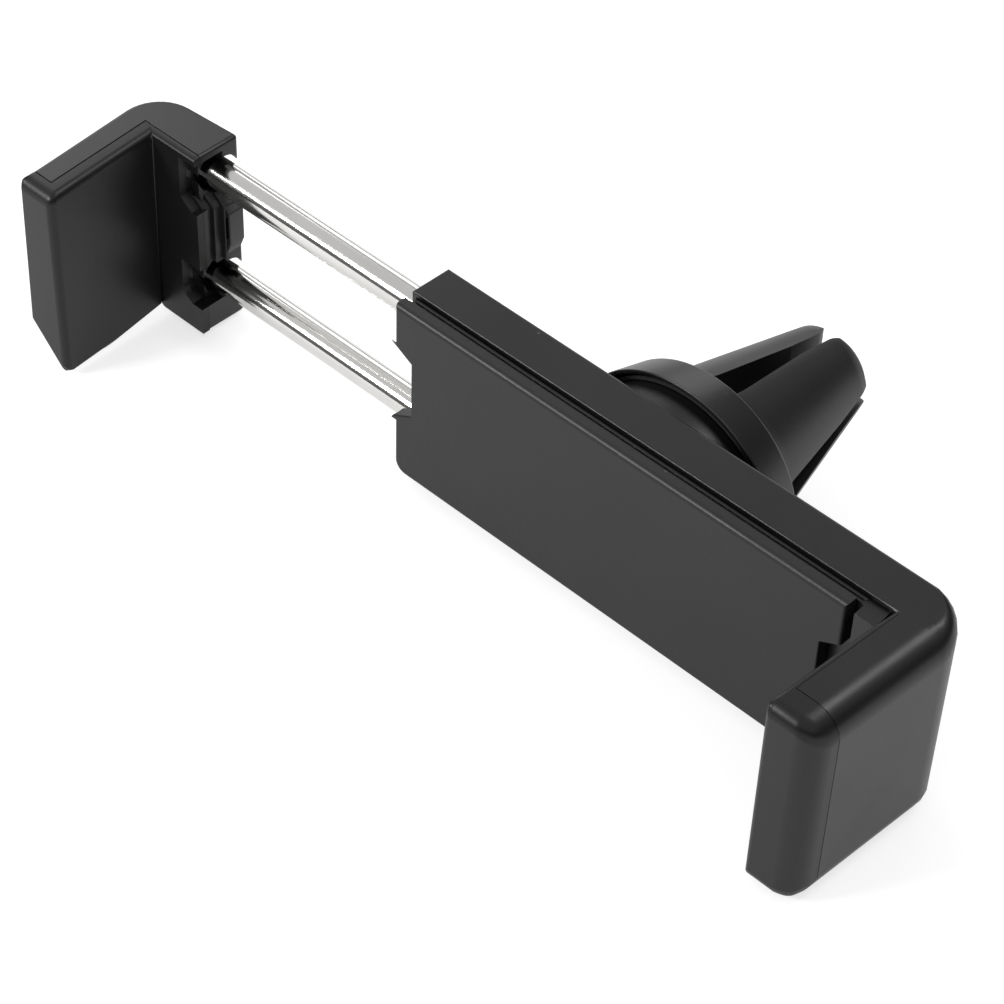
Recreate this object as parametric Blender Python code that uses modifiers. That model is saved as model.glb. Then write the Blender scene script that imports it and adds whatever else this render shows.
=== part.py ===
"""Air vent phone holder: a body with a fixed jaw, a moving jaw on two rods, and a swivelling vent clip."""

import math

import bmesh
import bpy
from mathutils import Matrix, Vector

MM = 0.001

# Body, in millimetres: X runs along the body, Y from the front plate to the vent clip, Z is up
HEIGHT = 21.0
PLATE_LENGTH = 49.45
PLATE_THICKNESS = 1.3
PLATE_TOP_INSET = 0.15
PLATE_BOTTOM_INSET = 1.2
PLATE_ROUND = 0.75
PLATE_CORNER = 1.3
SEAM = 0.12
RIM_Y = 2.2
BACK_Y = 6.6
WALL = 1.25
REBATE = 0.45
REBATE_DEPTH = 0.4
BACK_WALL = 0.5
BODY_EDGE = 0.4
RIM_EDGE = 0.15

# Notches at the ends of the body and of the front plate
NOTCH_LEVEL = 12.0
NOTCH_DEPTH = 2.0
NOTCH_HALF = 4.2
NOTCH_INNER_HALF = 3.1

# Jaws
ARM_THICKNESS = 5.1
ARM_TIP_Y = -12.25
ARM_TAPER = 0.065
FIXED_INNER_X = 52.35
JAW_EDGE = 2.6
LOW_SHARE = 0.75
JAW_CORNER = 4.0
TIP_OUTER_ROUND = 1.6
TIP_INNER_ROUND = 0.8
INNER_EDGE = 0.35
FACE_ROOT_Y = -0.35
FACE_RELIEF = 0.12
LINER_ROOT = 0.45
LINER_TIP = 0.45
CAP_LENGTH = 2.75

# Moving jaw
MOVING_INNER_X = -31.75
MOVING_TIP_Y = -11.95
MOVING_FRONT_Y = 0.75
MOVING_BACK_Y = 6.5
MOVING_END_X = -26.0
MOVING_FRONT_END_X = -26.6
MOVING_BACK_EDGE = 1.9
MOVING_CORNER = 0.5
MOVING_LINER_TIP = 1.0
MOVING_CAP_LENGTH = 1.7
BACK_LINER = 0.8

# Tongue of the moving jaw's insert
INSERT_START_X = -32.9
INSERT_FRONT_Y = 2.0
INSERT_BACK_Y = 5.3
INSERT_HALF = 3.35
NOSE_Y = 0.95
NOSE_END_X = -26.2
RIB_RISE = 0.85
RIB_RUN = 0.45
TONGUE_END_X = -24.6
TONGUE_ROOT_X = -26.0
TONGUE_END_HALF = 1.9

# Pockets of the moving jaw round the rods, open to the front and to the end
UPPER_POCKET_X = -28.4
UPPER_POCKET_RISE = 2.9
UPPER_POCKET_DROP = 1.6
LOWER_POCKET_X = -28.7
LOWER_POCKET_RISE = 2.0
LOWER_POCKET_DROP = 1.7
LOWER_POCKET_CORNER = 1.4
POCKET_SLOPE = 0.9

# Rods and their guides
ROD_RADIUS = 1.5
ROD_Y = 4.15
ROD_LEVEL = 11.3
ROD_OFFSET = 6.12
ROD_START_X = -34.6
ROD_END_X = 12.3
ROD_CHAMFER = 0.3
RUNNING_FIT = 0.05
MOUTH_CLEARANCE = 0.25
SADDLE_X = (3.2, 9.6)
BUSH_X = (3.4, 7.4)
DRAG_RING_X = (7.6, 9.4)
BUSH_WALL = 0.4
BUSH_RADIUS = ROD_RADIUS + RUNNING_FIT + BUSH_WALL
STOP_X = (9.9, 11.9)
PIN_RADIUS = 0.45
PIN_X = -33.2
SOCKET_RADIUS = 2.05
SOCKET_DEPTH = 2.4

# Cover screws
COVER_SCREW_X = (12.2, 42.7)
SCREW_RADIUS = 0.9
SCREW_HEAD_RADIUS = 1.7
SCREW_HEAD_HEIGHT = 0.9
SCREW_CLEARANCE = 0.1
SCREW_SINK = 0.15
BOSS_SINK = 0.42
BOSS_RADIUS = SCREW_HEAD_RADIUS + 0.7
PEG_RADIUS = SCREW_RADIUS + 0.85
PEG_END_Y = 3.55

# Swivel
SWIVEL_X = 25.05
SWIVEL_LEVEL = 10.75
DOME_RADIUS = 10.2
DOME_BORE = 9.2
DOME_RISE = 3.3
DOME_LEDGE = 0.4
SEAT_GAP = 0.08
SEAT_THICKNESS = 0.34
SEAT_RISE = (2.45, 3.9)
COLLAR_BORE = 10.74
COLLAR_FRONT_Y = 8.65
COLLAR_FRONT_RADIUS = 11.1
COLLAR_REAR_Y = 12.6
COLLAR_REAR_RADIUS = 10.15
COLLAR_FLOOR = 0.7
COLLAR_HOLE = 2.3
RETAINER_RADIUS = 9.1
RETAINER_RISE = (1.6, 2.9)
RETAINER_HUB_RADIUS = 5.5
SWIVEL_SCREW_RADIUS = 1.0
SWIVEL_HEAD_RADIUS = 2.3
SWIVEL_HEAD_HEIGHT = 1.2
WASHER_THICKNESS = 0.3
SWIVEL_SCREW_END_Y = 15.4

# Vent clip
CLIP_BASE_Y = 12.7
CLIP_BASE_RADIUS = 8.6
CLIP_WAIST_Y = 15.1
CLIP_WAIST_RADIUS = 7.7
CLIP_END_Y = 28.1
CLIP_END_RADIUS = 4.4
CLIP_TIP_Y = 30.1
CLIP_STEM_RADIUS = 2.2
SLOT_FLOOR_Y = 13.6
SLOT_HALF = 1.4
SLOT_NECK_Y = 24.1
SLOT_NECK_HALF = 0.5
SLOT_TIP_HALF = 0.4
CLIP_BORE = 1.6

# Facets
ROUND_STEPS = 56
SHAFT_STEPS = 32
SMALL_STEPS = 20
EDGE_STEPS = 4

MIDDLE = HEIGHT / 2
FIXED_OUTER_X = FIXED_INNER_X + ARM_THICKNESS
MOVING_OUTER_X = MOVING_INNER_X - ARM_THICKNESS
ROD_LEVELS = {"upper": ROD_LEVEL + ROD_OFFSET, "lower": ROD_LEVEL - ROD_OFFSET}
SWIVEL = (SWIVEL_X, BACK_Y, SWIVEL_LEVEL)
PAST = 2.0
TIP_MARGIN = 0.02
TIP_ALLOWANCE = JAW_EDGE + 0.5

for leftover in list(bpy.data.objects):
    bpy.data.objects.remove(leftover, do_unlink=True)

group = bpy.data.collections.new("air_vent_phone_holder")
bpy.context.scene.collection.children.link(group)
cutters = bpy.data.collections.new("cutters")
bpy.context.scene.collection.children.link(cutters)
cutters.hide_render = True

# The origin is below the middle of the whole holder, at the level of the lowest point of the collar
root = bpy.data.objects.new("holder_origin", None)
group.objects.link(root)
root.location = Vector(
    (
        -(MOVING_OUTER_X + FIXED_OUTER_X) / 2,
        -(ARM_TIP_Y + CLIP_TIP_Y) / 2,
        COLLAR_FRONT_RADIUS - SWIVEL_LEVEL,
    )
) * MM


def material(name, color, roughness, metallic=0.0):
    made = bpy.data.materials.new(name)
    made.use_nodes = True
    shader = made.node_tree.nodes["Principled BSDF"]
    shader.inputs["Base Color"].default_value = (*color, 1.0)
    shader.inputs["Roughness"].default_value = roughness
    shader.inputs["Metallic"].default_value = metallic
    made.diffuse_color = (*color, 1.0)
    return made


def finish_piece(obj, look):
    """Puts a finished piece in the holder's collection with its own material."""
    cutters.objects.unlink(obj)
    group.objects.link(obj)
    obj.hide_render = False
    obj.display_type = "TEXTURED"
    color, roughness, metallic = look
    obj.data.materials.append(material(obj.name + "_finish", color, roughness, metallic))
    return obj


def add_mesh(name, mesh, pivot=(0.0, 0.0, 0.0)):
    """A new object in the cutters' collection; finish_piece moves it out if it is a piece."""
    obj = bpy.data.objects.new(name, mesh)
    cutters.objects.link(obj)
    obj.hide_render = True
    obj.display_type = "WIRE"
    obj.parent = root
    obj.location = Vector(pivot) * MM
    return obj


def from_bmesh(name, bm, pivot=(0.0, 0.0, 0.0)):
    bmesh.ops.recalc_face_normals(bm, faces=bm.faces)
    bmesh.ops.translate(bm, vec=-Vector(pivot), verts=bm.verts)
    bmesh.ops.scale(bm, vec=(MM, MM, MM), verts=bm.verts)
    mesh = bpy.data.meshes.new(name)
    bm.to_mesh(mesh)
    bm.free()
    return add_mesh(name, mesh, pivot)


def box(name, low, high, pivot=(0.0, 0.0, 0.0)):
    bm = bmesh.new()
    low, high = Vector(low), Vector(high)
    bmesh.ops.create_cube(bm, size=1.0)
    bmesh.ops.scale(bm, vec=high - low, verts=bm.verts)
    bmesh.ops.translate(bm, vec=(high + low) / 2, verts=bm.verts)
    return from_bmesh(name, bm, pivot)


def fillet(corners):
    """Turns corners (a, b, plan radius, edge rounding) into points (a, b, edge rounding) with arcs.

    The edge rounding of an arc may be a pair, which it then changes between from its start to its end.
    """
    points = []
    count = len(corners)
    for index, (a, b, radius, edge) in enumerate(corners):
        here = Vector((a, b))
        to_last = (Vector(corners[index - 1][:2]) - here).normalized()
        to_next = (Vector(corners[(index + 1) % count][:2]) - here).normalized()
        if radius <= 0:
            points.append((a, b, edge))
            continue
        first_edge, last_edge = edge if isinstance(edge, tuple) else (edge, edge)
        half = to_last.angle(to_next) / 2
        centre = here + (to_last + to_next).normalized() * (radius / math.sin(half))
        start = here + to_last * (radius / math.tan(half)) - centre
        end = here + to_next * (radius / math.tan(half)) - centre
        first = math.atan2(start.y, start.x)
        sweep = math.remainder(math.atan2(end.y, end.x) - first, 2 * math.pi)
        steps = 7 if radius > 2 else 3
        for share in (step / steps for step in range(steps + 1)):
            angle = first + sweep * share
            spot = centre + Vector((math.cos(angle), math.sin(angle))) * radius
            points.append((spot.x, spot.y, first_edge + (last_edge - first_edge) * share))
    return points


def prism(name, points, low, high, plane="XY", round_low=True, round_high=True, low_share=1.0, lean=0.0):
    """A solid from an outline of points (a, b, edge rounding), with its end edges rounded as each point says.

    low_share scales the rounding of the low end; lean moves the outline along X as the solid goes up.
    """
    area = sum(
        p[0] * q[1] - q[0] * p[1] for p, q in zip(points, points[1:] + points[:1])
    )
    if area < 0:
        points = points[::-1]
    insets = []
    for index, point in enumerate(points):
        here = Vector(point[:2])
        back = (here - Vector(points[index - 1][:2])).normalized()
        ahead = (Vector(points[(index + 1) % len(points)][:2]) - here).normalized()
        normal_a, normal_b = Vector((-back.y, back.x)), Vector((-ahead.y, ahead.x))
        insets.append((normal_a + normal_b) / (1 + normal_a.dot(normal_b)))
    rings = []
    if round_low:
        rings += [(low, 1, step / EDGE_STEPS) for step in range(EDGE_STEPS + 1)]
    else:
        rings.append((low, 1, 1.0))
    if round_high:
        rings += [(high, -1, 1 - step / EDGE_STEPS) for step in range(EDGE_STEPS + 1)]
    else:
        rings.append((high, -1, 1.0))
    bm = bmesh.new()
    made = []
    for level, side, share in rings:
        angle = share * math.pi / 2
        flat = (side == 1 and not round_low) or (side == -1 and not round_high)
        ring = []
        for (a, b, edge), inset in zip(points, insets):
            size = 0.0 if flat else edge * (low_share if side == 1 else 1.0)
            spot = Vector((a, b)) + inset * size * (1 - math.sin(angle))
            height = level + side * size * (1 - math.cos(angle))
            spot.x += lean * (height - low)
            place = (spot.x, spot.y, height) if plane == "XY" else (spot.x, height, spot.y)
            ring.append(bm.verts.new(place))
        made.append(ring)
    for lower, upper in zip(made, made[1:]):
        for index in range(len(lower)):
            after = (index + 1) % len(lower)
            bm.faces.new((lower[index], lower[after], upper[after], upper[index]))
    bm.faces.new(made[0][::-1])
    bm.faces.new(made[-1])
    return from_bmesh(name, bm)


def revolve(name, profile, pivot, axis="Y", steps=ROUND_STEPS):
    """A solid from a profile of (radius, distance along the axis from the pivot), spun with a Screw modifier."""
    closed = not (profile[0][0] == 0 and profile[-1][0] == 0)
    area = sum(
        p[0] * q[1] - q[0] * p[1] for p, q in zip(profile, profile[1:] + profile[:1])
    )
    if area > 0:
        profile = profile[::-1]
    count = len(profile)
    edges = [(index, index + 1) for index in range(count - 1)]
    if closed:
        edges.append((count - 1, 0))
    mesh = bpy.data.meshes.new(name)
    mesh.from_pydata([(r * MM, 0.0, h * MM) for r, h in profile], edges, [])
    obj = add_mesh(name, mesh, pivot)
    obj.rotation_euler = (-math.pi / 2, 0.0, 0.0) if axis == "Y" else (0.0, math.pi / 2, 0.0)
    spin = obj.modifiers.new("spin", "SCREW")
    spin.axis = "Z"
    spin.angle = 2 * math.pi
    spin.steps = steps
    spin.render_steps = steps
    spin.use_merge_vertices = True
    spin.merge_threshold = 0.000001
    spin.use_smooth_shade = False
    return obj


def boolean(target, other, operation="DIFFERENCE"):
    change = target.modifiers.new(other.name, "BOOLEAN")
    change.operation = operation
    change.solver = "EXACT"
    change.object = other


def arc(radius, rise_start, rise_end, steps):
    """Points (radius from the axis, rise) on a sphere about the swivel's centre."""
    first = math.asin(rise_start / radius)
    last = math.asin(rise_end / radius)
    turns = [first + (last - first) * step / steps for step in range(steps + 1)]
    return [(radius * math.cos(turn), radius * math.sin(turn)) for turn in turns]


def chamfered_rod(radius, start, end, chamfer):
    return [
        (0.0, start),
        (radius - chamfer, start),
        (radius, start + chamfer),
        (radius, end - chamfer),
        (radius - chamfer, end),
        (0.0, end),
    ]


def ring_profile(inner, outer, start, end, chamfer):
    return [
        (inner, start),
        (outer - chamfer, start),
        (outer, start + chamfer),
        (outer, end - chamfer),
        (outer - chamfer, end),
        (inner, end),
    ]


# Finishes: colour, roughness, metallic
BLACK_PLASTIC = ((0.018, 0.018, 0.019), 0.42, 0.0)
PLATE_PLASTIC = ((0.02, 0.02, 0.021), 0.5, 0.0)
SOFT_BLACK = ((0.014, 0.014, 0.015), 0.6, 0.0)
CHROME = ((0.78, 0.78, 0.76), 0.12, 1.0)
STEEL = ((0.5, 0.5, 0.5), 0.3, 1.0)
WHITE_PLASTIC = ((0.62, 0.62, 0.6), 0.45, 0.0)
RUBBER = ((0.02, 0.02, 0.02), 0.75, 0.0)


def fixed_inner(y):
    return FIXED_INNER_X + ARM_TAPER * (y - RIM_Y)


def fixed_outer(y):
    return FIXED_OUTER_X + ARM_TAPER * (y - BACK_Y + JAW_CORNER)


def moving_inner(y):
    return MOVING_INNER_X - ARM_TAPER * (y - RIM_Y)


def moving_outer(y):
    return MOVING_OUTER_X - ARM_TAPER * (y - MOVING_BACK_Y + JAW_CORNER)


def notch(name, end_x, inward, low_y, high_y):
    """The cutter of a trapezoid notch in an end face, open to the side that inward points away from."""
    points = [
        (end_x - inward * PAST, NOTCH_LEVEL - NOTCH_HALF, 0.0),
        (end_x, NOTCH_LEVEL - NOTCH_HALF, 0.0),
        (end_x + inward * NOTCH_DEPTH, NOTCH_LEVEL - NOTCH_INNER_HALF, 0.0),
        (end_x + inward * NOTCH_DEPTH, NOTCH_LEVEL + NOTCH_INNER_HALF, 0.0),
        (end_x, NOTCH_LEVEL + NOTCH_HALF, 0.0),
        (end_x - inward * PAST, NOTCH_LEVEL + NOTCH_HALF, 0.0),
    ]
    return prism(name, points, low_y, high_y, "XZ", round_low=False, round_high=False)


def arm_tip_cut(name, inner, outer, side, tip_y, taper):
    """The cutter that ends an arm: a block with a hollow of the arm's section, rounded where it closes."""
    inner_x = inner(tip_y) - side * TIP_MARGIN
    outer_x = outer(tip_y) + side * TIP_MARGIN
    top = HEIGHT + TIP_MARGIN
    corners = [
        (inner_x, -TIP_MARGIN, 0.0, TIP_INNER_ROUND),
        (outer_x, -TIP_MARGIN, JAW_EDGE * LOW_SHARE, TIP_OUTER_ROUND),
        (outer_x, top, JAW_EDGE, TIP_OUTER_ROUND),
        (inner_x, top, 0.0, TIP_INNER_ROUND),
    ]
    reach = tip_y + TIP_OUTER_ROUND
    hollow = prism(name + "_hollow", fillet(corners), tip_y, reach + PAST, "XZ", round_high=False, lean=side * taper)
    low_x, high_x = sorted((inner_x - side * PAST, outer_x + side * PAST))
    block = box(name, (low_x, tip_y - JAW_EDGE - PAST, -PAST), (high_x, reach + TIP_MARGIN, HEIGHT + PAST))
    boolean(block, hollow)
    return block


def liner_region(name, inner, outer, side, root_y, grow, arm_y):
    """The plan region that the soft liner takes from a jaw; grow is the seam's width around it."""
    cap_y = ARM_TIP_Y + CAP_LENGTH + grow
    points = [
        (inner(arm_y) - side * PAST, arm_y, 0.0),
        (inner(root_y) + side * (LINER_ROOT + grow), arm_y, 0.0),
        (inner(cap_y) + side * (LINER_TIP + grow), cap_y, 0.0),
        (outer(cap_y) + side * PAST, cap_y, 0.0),
        (outer(cap_y) + side * PAST, ARM_TIP_Y - PAST, 0.0),
        (inner(cap_y) - side * PAST, ARM_TIP_Y - PAST, 0.0),
    ]
    return prism(name, points, -PAST, HEIGHT + PAST, round_low=False, round_high=False)


# Housing shell with the fixed arm
fixed_tip = arm_tip_cut("fixed_tip_cut", fixed_inner, fixed_outer, 1, ARM_TIP_Y, ARM_TAPER)


def housing_blank(name):
    end_y = ARM_TIP_Y - TIP_ALLOWANCE
    corners = [
        (0.0, RIM_Y, 0.0, RIM_EDGE),
        (0.0, BACK_Y, 0.0, BODY_EDGE),
        (fixed_outer(BACK_Y), BACK_Y, JAW_CORNER, (BODY_EDGE, JAW_EDGE)),
        (fixed_outer(end_y), end_y, 0.0, JAW_EDGE),
        (fixed_inner(end_y), end_y, 0.0, INNER_EDGE),
        (fixed_inner(FACE_ROOT_Y), FACE_ROOT_Y, 0.0, INNER_EDGE),
        (fixed_inner(RIM_Y) + FACE_RELIEF, RIM_Y, 0.0, INNER_EDGE),
        (fixed_inner(RIM_Y) - RIM_EDGE * 8, RIM_Y, 0.0, RIM_EDGE),
    ]
    blank = prism(name, fillet(corners), 0.0, HEIGHT, low_share=LOW_SHARE)
    boolean(blank, fixed_tip)
    return blank


housing = housing_blank("housing_shell")
boolean(housing, liner_region("fixed_liner_cut", fixed_inner, fixed_outer, 1, RIM_Y, SEAM, RIM_Y - SEAM))

# Dome of the swivel, hollow and open to the front
dome_opening = revolve(
    "dome_opening_cut",
    [
        (0.0, -BACK_WALL - PAST),
        (DOME_BORE + DOME_LEDGE, -BACK_WALL - PAST),
        (DOME_BORE + DOME_LEDGE, PAST),
        (0.0, PAST),
    ],
    SWIVEL,
)
boolean(housing, dome_opening)
dome = revolve(
    "dome_add",
    [(DOME_BORE, -DOME_LEDGE), (DOME_RADIUS, -DOME_LEDGE)]
    + arc(DOME_RADIUS, 0.05, DOME_RISE, 5)
    + arc(DOME_BORE, 0.05, DOME_RISE, 5)[::-1],
    SWIVEL,
)
boolean(housing, dome, "UNION")

# Inside of the housing: the bezel's rebate, the cavity, the rods' mouths and the screw bosses
CAVITY_X = (SADDLE_X[1], PLATE_LENGTH + 0.4)
boolean(
    housing,
    box(
        "rebate_cut",
        (REBATE, RIM_Y - PAST, REBATE),
        (FIXED_INNER_X - REBATE, RIM_Y + REBATE_DEPTH, HEIGHT - REBATE),
    ),
)
boolean(
    housing,
    box(
        "cavity_cut",
        (CAVITY_X[0], RIM_Y - PAST, WALL),
        (CAVITY_X[1], BACK_Y - BACK_WALL, HEIGHT - WALL),
    ),
)
boolean(housing, notch("housing_notch_cut", 0.0, 1, RIM_Y - PAST, BACK_Y + PAST))
for level_name, level in ROD_LEVELS.items():
    mouth = revolve(
        level_name + "_mouth_cut",
        [
            (0.0, -PAST),
            (ROD_RADIUS + MOUTH_CLEARANCE, -PAST),
            (ROD_RADIUS + MOUTH_CLEARANCE, SADDLE_X[0]),
            (BUSH_RADIUS + RUNNING_FIT, SADDLE_X[0]),
            (BUSH_RADIUS + RUNNING_FIT, SADDLE_X[1] + PAST),
            (0.0, SADDLE_X[1] + PAST),
        ],
        (0.0, ROD_Y, level),
        "X",
        SHAFT_STEPS,
    )
    boolean(housing, mouth)
for index, screw_x in enumerate(COVER_SCREW_X):
    boss_bore = SCREW_RADIUS + SCREW_CLEARANCE + RUNNING_FIT
    boss_end_y = BACK_Y - BOSS_SINK
    boss = revolve(
        f"boss_add_{index}",
        [
            (boss_bore, PEG_END_Y + SEAM),
            (BOSS_RADIUS, PEG_END_Y + SEAM),
            (BOSS_RADIUS, boss_end_y),
            (boss_bore, boss_end_y),
        ],
        (screw_x, 0.0, MIDDLE),
        steps=SMALL_STEPS,
    )
    boolean(housing, boss, "UNION")
for index, screw_x in enumerate(COVER_SCREW_X):
    bore = revolve(
        f"screw_hole_cut_{index}",
        [
            (0.0, RIM_Y - PAST),
            (SCREW_RADIUS + SCREW_CLEARANCE, RIM_Y - PAST),
            (SCREW_RADIUS + SCREW_CLEARANCE, BACK_Y - SCREW_SINK - SCREW_HEAD_HEIGHT - SCREW_CLEARANCE),
            (SCREW_HEAD_RADIUS + 2 * SCREW_CLEARANCE, BACK_Y - SCREW_SINK - SCREW_HEAD_HEIGHT - SCREW_CLEARANCE),
            (SCREW_HEAD_RADIUS + 2 * SCREW_CLEARANCE, BACK_Y + PAST),
            (0.0, BACK_Y + PAST),
        ],
        (screw_x, 0.0, MIDDLE),
        steps=SMALL_STEPS,
    )
    boolean(housing, bore)

finish_piece(housing, BLACK_PLASTIC)

# Soft liner and tip cap of the fixed arm
fixed_liner = housing_blank("fixed_jaw_liner")
boolean(
    fixed_liner,
    liner_region("fixed_liner_keep", fixed_inner, fixed_outer, 1, RIM_Y, 0.0, RIM_Y - 2 * SEAM),
    "INTERSECT",
)
finish_piece(fixed_liner, SOFT_BLACK)

# Front bezel: a thin frame in the shell's rebate, with a bar between the plate and the fixed arm
BEZEL_OUTER = REBATE + SEAM
BEZEL_INNER = 1.95
BEZEL_LEFT = 3.2
BEZEL_Y = (PLATE_THICKNESS + SEAM, RIM_Y + REBATE_DEPTH - SEAM)
BAR_X = PLATE_LENGTH + 0.4
BAR_FRONT_Y = 0.1
BAR_END_X = FIXED_INNER_X - REBATE - SEAM
bezel = prism(
    "front_bezel",
    fillet(
        [
            (BEZEL_OUTER, BEZEL_OUTER, 0.0, 0.15),
            (BAR_END_X, BEZEL_OUTER, 0.0, 0.15),
            (BAR_END_X, HEIGHT - BEZEL_OUTER, 0.0, 0.15),
            (BEZEL_OUTER, HEIGHT - BEZEL_OUTER, 0.0, 0.15),
        ]
    ),
    BAR_FRONT_Y,
    BEZEL_Y[1],
    "XZ",
    round_high=False,
)
boolean(bezel, box("bezel_step_cut", (-PAST, BAR_FRONT_Y - PAST, -PAST), (BAR_X, BEZEL_Y[0], HEIGHT + PAST)))
boolean(
    bezel,
    box(
        "bezel_window_cut",
        (BEZEL_LEFT, BEZEL_Y[0] - 0.5, BEZEL_INNER),
        (BAR_X - 0.6, BEZEL_Y[1] + PAST, HEIGHT - BEZEL_INNER),
    ),
)
boolean(bezel, notch("bezel_notch_cut", SEAM, 1, BAR_FRONT_Y - PAST, BEZEL_Y[1] + PAST))
finish_piece(bezel, BLACK_PLASTIC)

# Front plate with its two screw pegs
plate = prism(
    "front_plate",
    fillet(
        [
            (0.0, PLATE_BOTTOM_INSET, PLATE_CORNER, PLATE_ROUND * 0.6),
            (PLATE_LENGTH, PLATE_BOTTOM_INSET, 0.0, PLATE_ROUND * 0.6),
            (PLATE_LENGTH, HEIGHT - PLATE_TOP_INSET, 0.0, PLATE_ROUND),
            (0.0, HEIGHT - PLATE_TOP_INSET, 0.0, PLATE_ROUND),
        ]
    ),
    0.0,
    PLATE_THICKNESS,
    "XZ",
    round_high=False,
)
boolean(plate, notch("plate_left_notch_cut", 0.0, 1, -PAST, PLATE_THICKNESS + PAST))
boolean(plate, notch("plate_right_notch_cut", PLATE_LENGTH, -1, -PAST, PLATE_THICKNESS + PAST))
for index, screw_x in enumerate(COVER_SCREW_X):
    peg = revolve(
        f"peg_add_{index}",
        [(0.0, PLATE_THICKNESS - 0.4), (PEG_RADIUS, PLATE_THICKNESS - 0.4), (PEG_RADIUS, PEG_END_Y), (0.0, PEG_END_Y)],
        (screw_x, 0.0, MIDDLE),
        steps=SMALL_STEPS,
    )
    boolean(plate, peg, "UNION")
    thread = revolve(
        f"peg_hole_cut_{index}",
        [
            (0.0, PLATE_THICKNESS - 0.5),
            (SCREW_RADIUS + RUNNING_FIT, PLATE_THICKNESS - 0.5),
            (SCREW_RADIUS + RUNNING_FIT, PEG_END_Y + PAST),
            (0.0, PEG_END_Y + PAST),
        ],
        (screw_x, 0.0, MIDDLE),
        steps=SMALL_STEPS,
    )
    boolean(plate, thread)
finish_piece(plate, PLATE_PLASTIC)

# Cover screws, driven from the back
for side_name, screw_x in zip(("left", "right"), COVER_SCREW_X):
    head_y = BACK_Y - SCREW_HEAD_HEIGHT - SCREW_SINK
    cover_screw = revolve(
        side_name + "_cover_screw",
        [
            (0.0, PLATE_THICKNESS - 0.3),
            (SCREW_RADIUS - 0.3, PLATE_THICKNESS - 0.3),
            (SCREW_RADIUS, PLATE_THICKNESS),
            (SCREW_RADIUS, head_y),
            (SCREW_HEAD_RADIUS, head_y),
            (SCREW_HEAD_RADIUS, head_y + SCREW_HEAD_HEIGHT - 0.3),
            (SCREW_HEAD_RADIUS - 0.35, head_y + SCREW_HEAD_HEIGHT),
            (0.0, head_y + SCREW_HEAD_HEIGHT),
        ],
        (screw_x, 0.0, MIDDLE),
        steps=SMALL_STEPS,
    )
    for turn, (half_x, half_z) in enumerate(((1.1, 0.22), (0.22, 1.1))):
        boolean(
            cover_screw,
            box(
                f"{side_name}_drive_cut_{turn}",
                (screw_x - half_x, head_y + SCREW_HEAD_HEIGHT - 0.45, MIDDLE - half_z),
                (screw_x + half_x, head_y + SCREW_HEAD_HEIGHT + 0.3, MIDDLE + half_z),
            ),
        )
    finish_piece(cover_screw, STEEL)


# Moving jaw
moving_tip = arm_tip_cut("moving_tip_cut", moving_inner, moving_outer, -1, MOVING_TIP_Y, ARM_TAPER)
moving_end = box(
    "moving_end_cut",
    (MOVING_END_X, MOVING_FRONT_Y - PAST, -PAST),
    (MOVING_END_X + JAW_EDGE + PAST, MOVING_BACK_Y + PAST, HEIGHT + PAST),
)


def moving_blank(name):
    tip_y = MOVING_TIP_Y - TIP_ALLOWANCE
    end_x = MOVING_END_X + JAW_EDGE
    corners = [
        (end_x, MOVING_FRONT_Y, 0.0, INNER_EDGE),
        (end_x, MOVING_BACK_Y, 0.0, MOVING_BACK_EDGE),
        (moving_outer(MOVING_BACK_Y), MOVING_BACK_Y, JAW_CORNER, (MOVING_BACK_EDGE, JAW_EDGE)),
        (moving_outer(tip_y), tip_y, 0.0, JAW_EDGE),
        (moving_inner(tip_y), tip_y, 0.0, INNER_EDGE),
        (moving_inner(MOVING_FRONT_Y), MOVING_FRONT_Y, MOVING_CORNER, INNER_EDGE),
    ]
    blank = prism(name, fillet(corners), 0.0, HEIGHT, low_share=LOW_SHARE)
    boolean(blank, moving_tip)
    boolean(blank, moving_end)
    return blank


def moving_liner_region(name, grow):
    """Plan region of the moving jaw's liner: the arm's inner face, its tip, and the front of the back part."""
    cap_y = MOVING_TIP_Y + MOVING_CAP_LENGTH + grow
    layer_y = MOVING_FRONT_Y + BACK_LINER + grow
    points = [
        (MOVING_FRONT_END_X + grow, layer_y, 0.0),
        (moving_inner(layer_y) - LINER_ROOT - grow, layer_y, 0.0),
        (moving_inner(cap_y) - MOVING_LINER_TIP - grow, cap_y, 0.0),
        (moving_outer(cap_y) - PAST, cap_y, 0.0),
        (moving_outer(cap_y) - PAST, MOVING_TIP_Y - PAST, 0.0),
        (MOVING_FRONT_END_X + grow, MOVING_TIP_Y - PAST, 0.0),
    ]
    return prism(name, points, -PAST, HEIGHT + PAST, round_low=False, round_high=False)


moving = moving_blank("moving_jaw_shell")
boolean(moving, moving_liner_region("moving_liner_cut", SEAM))

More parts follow.
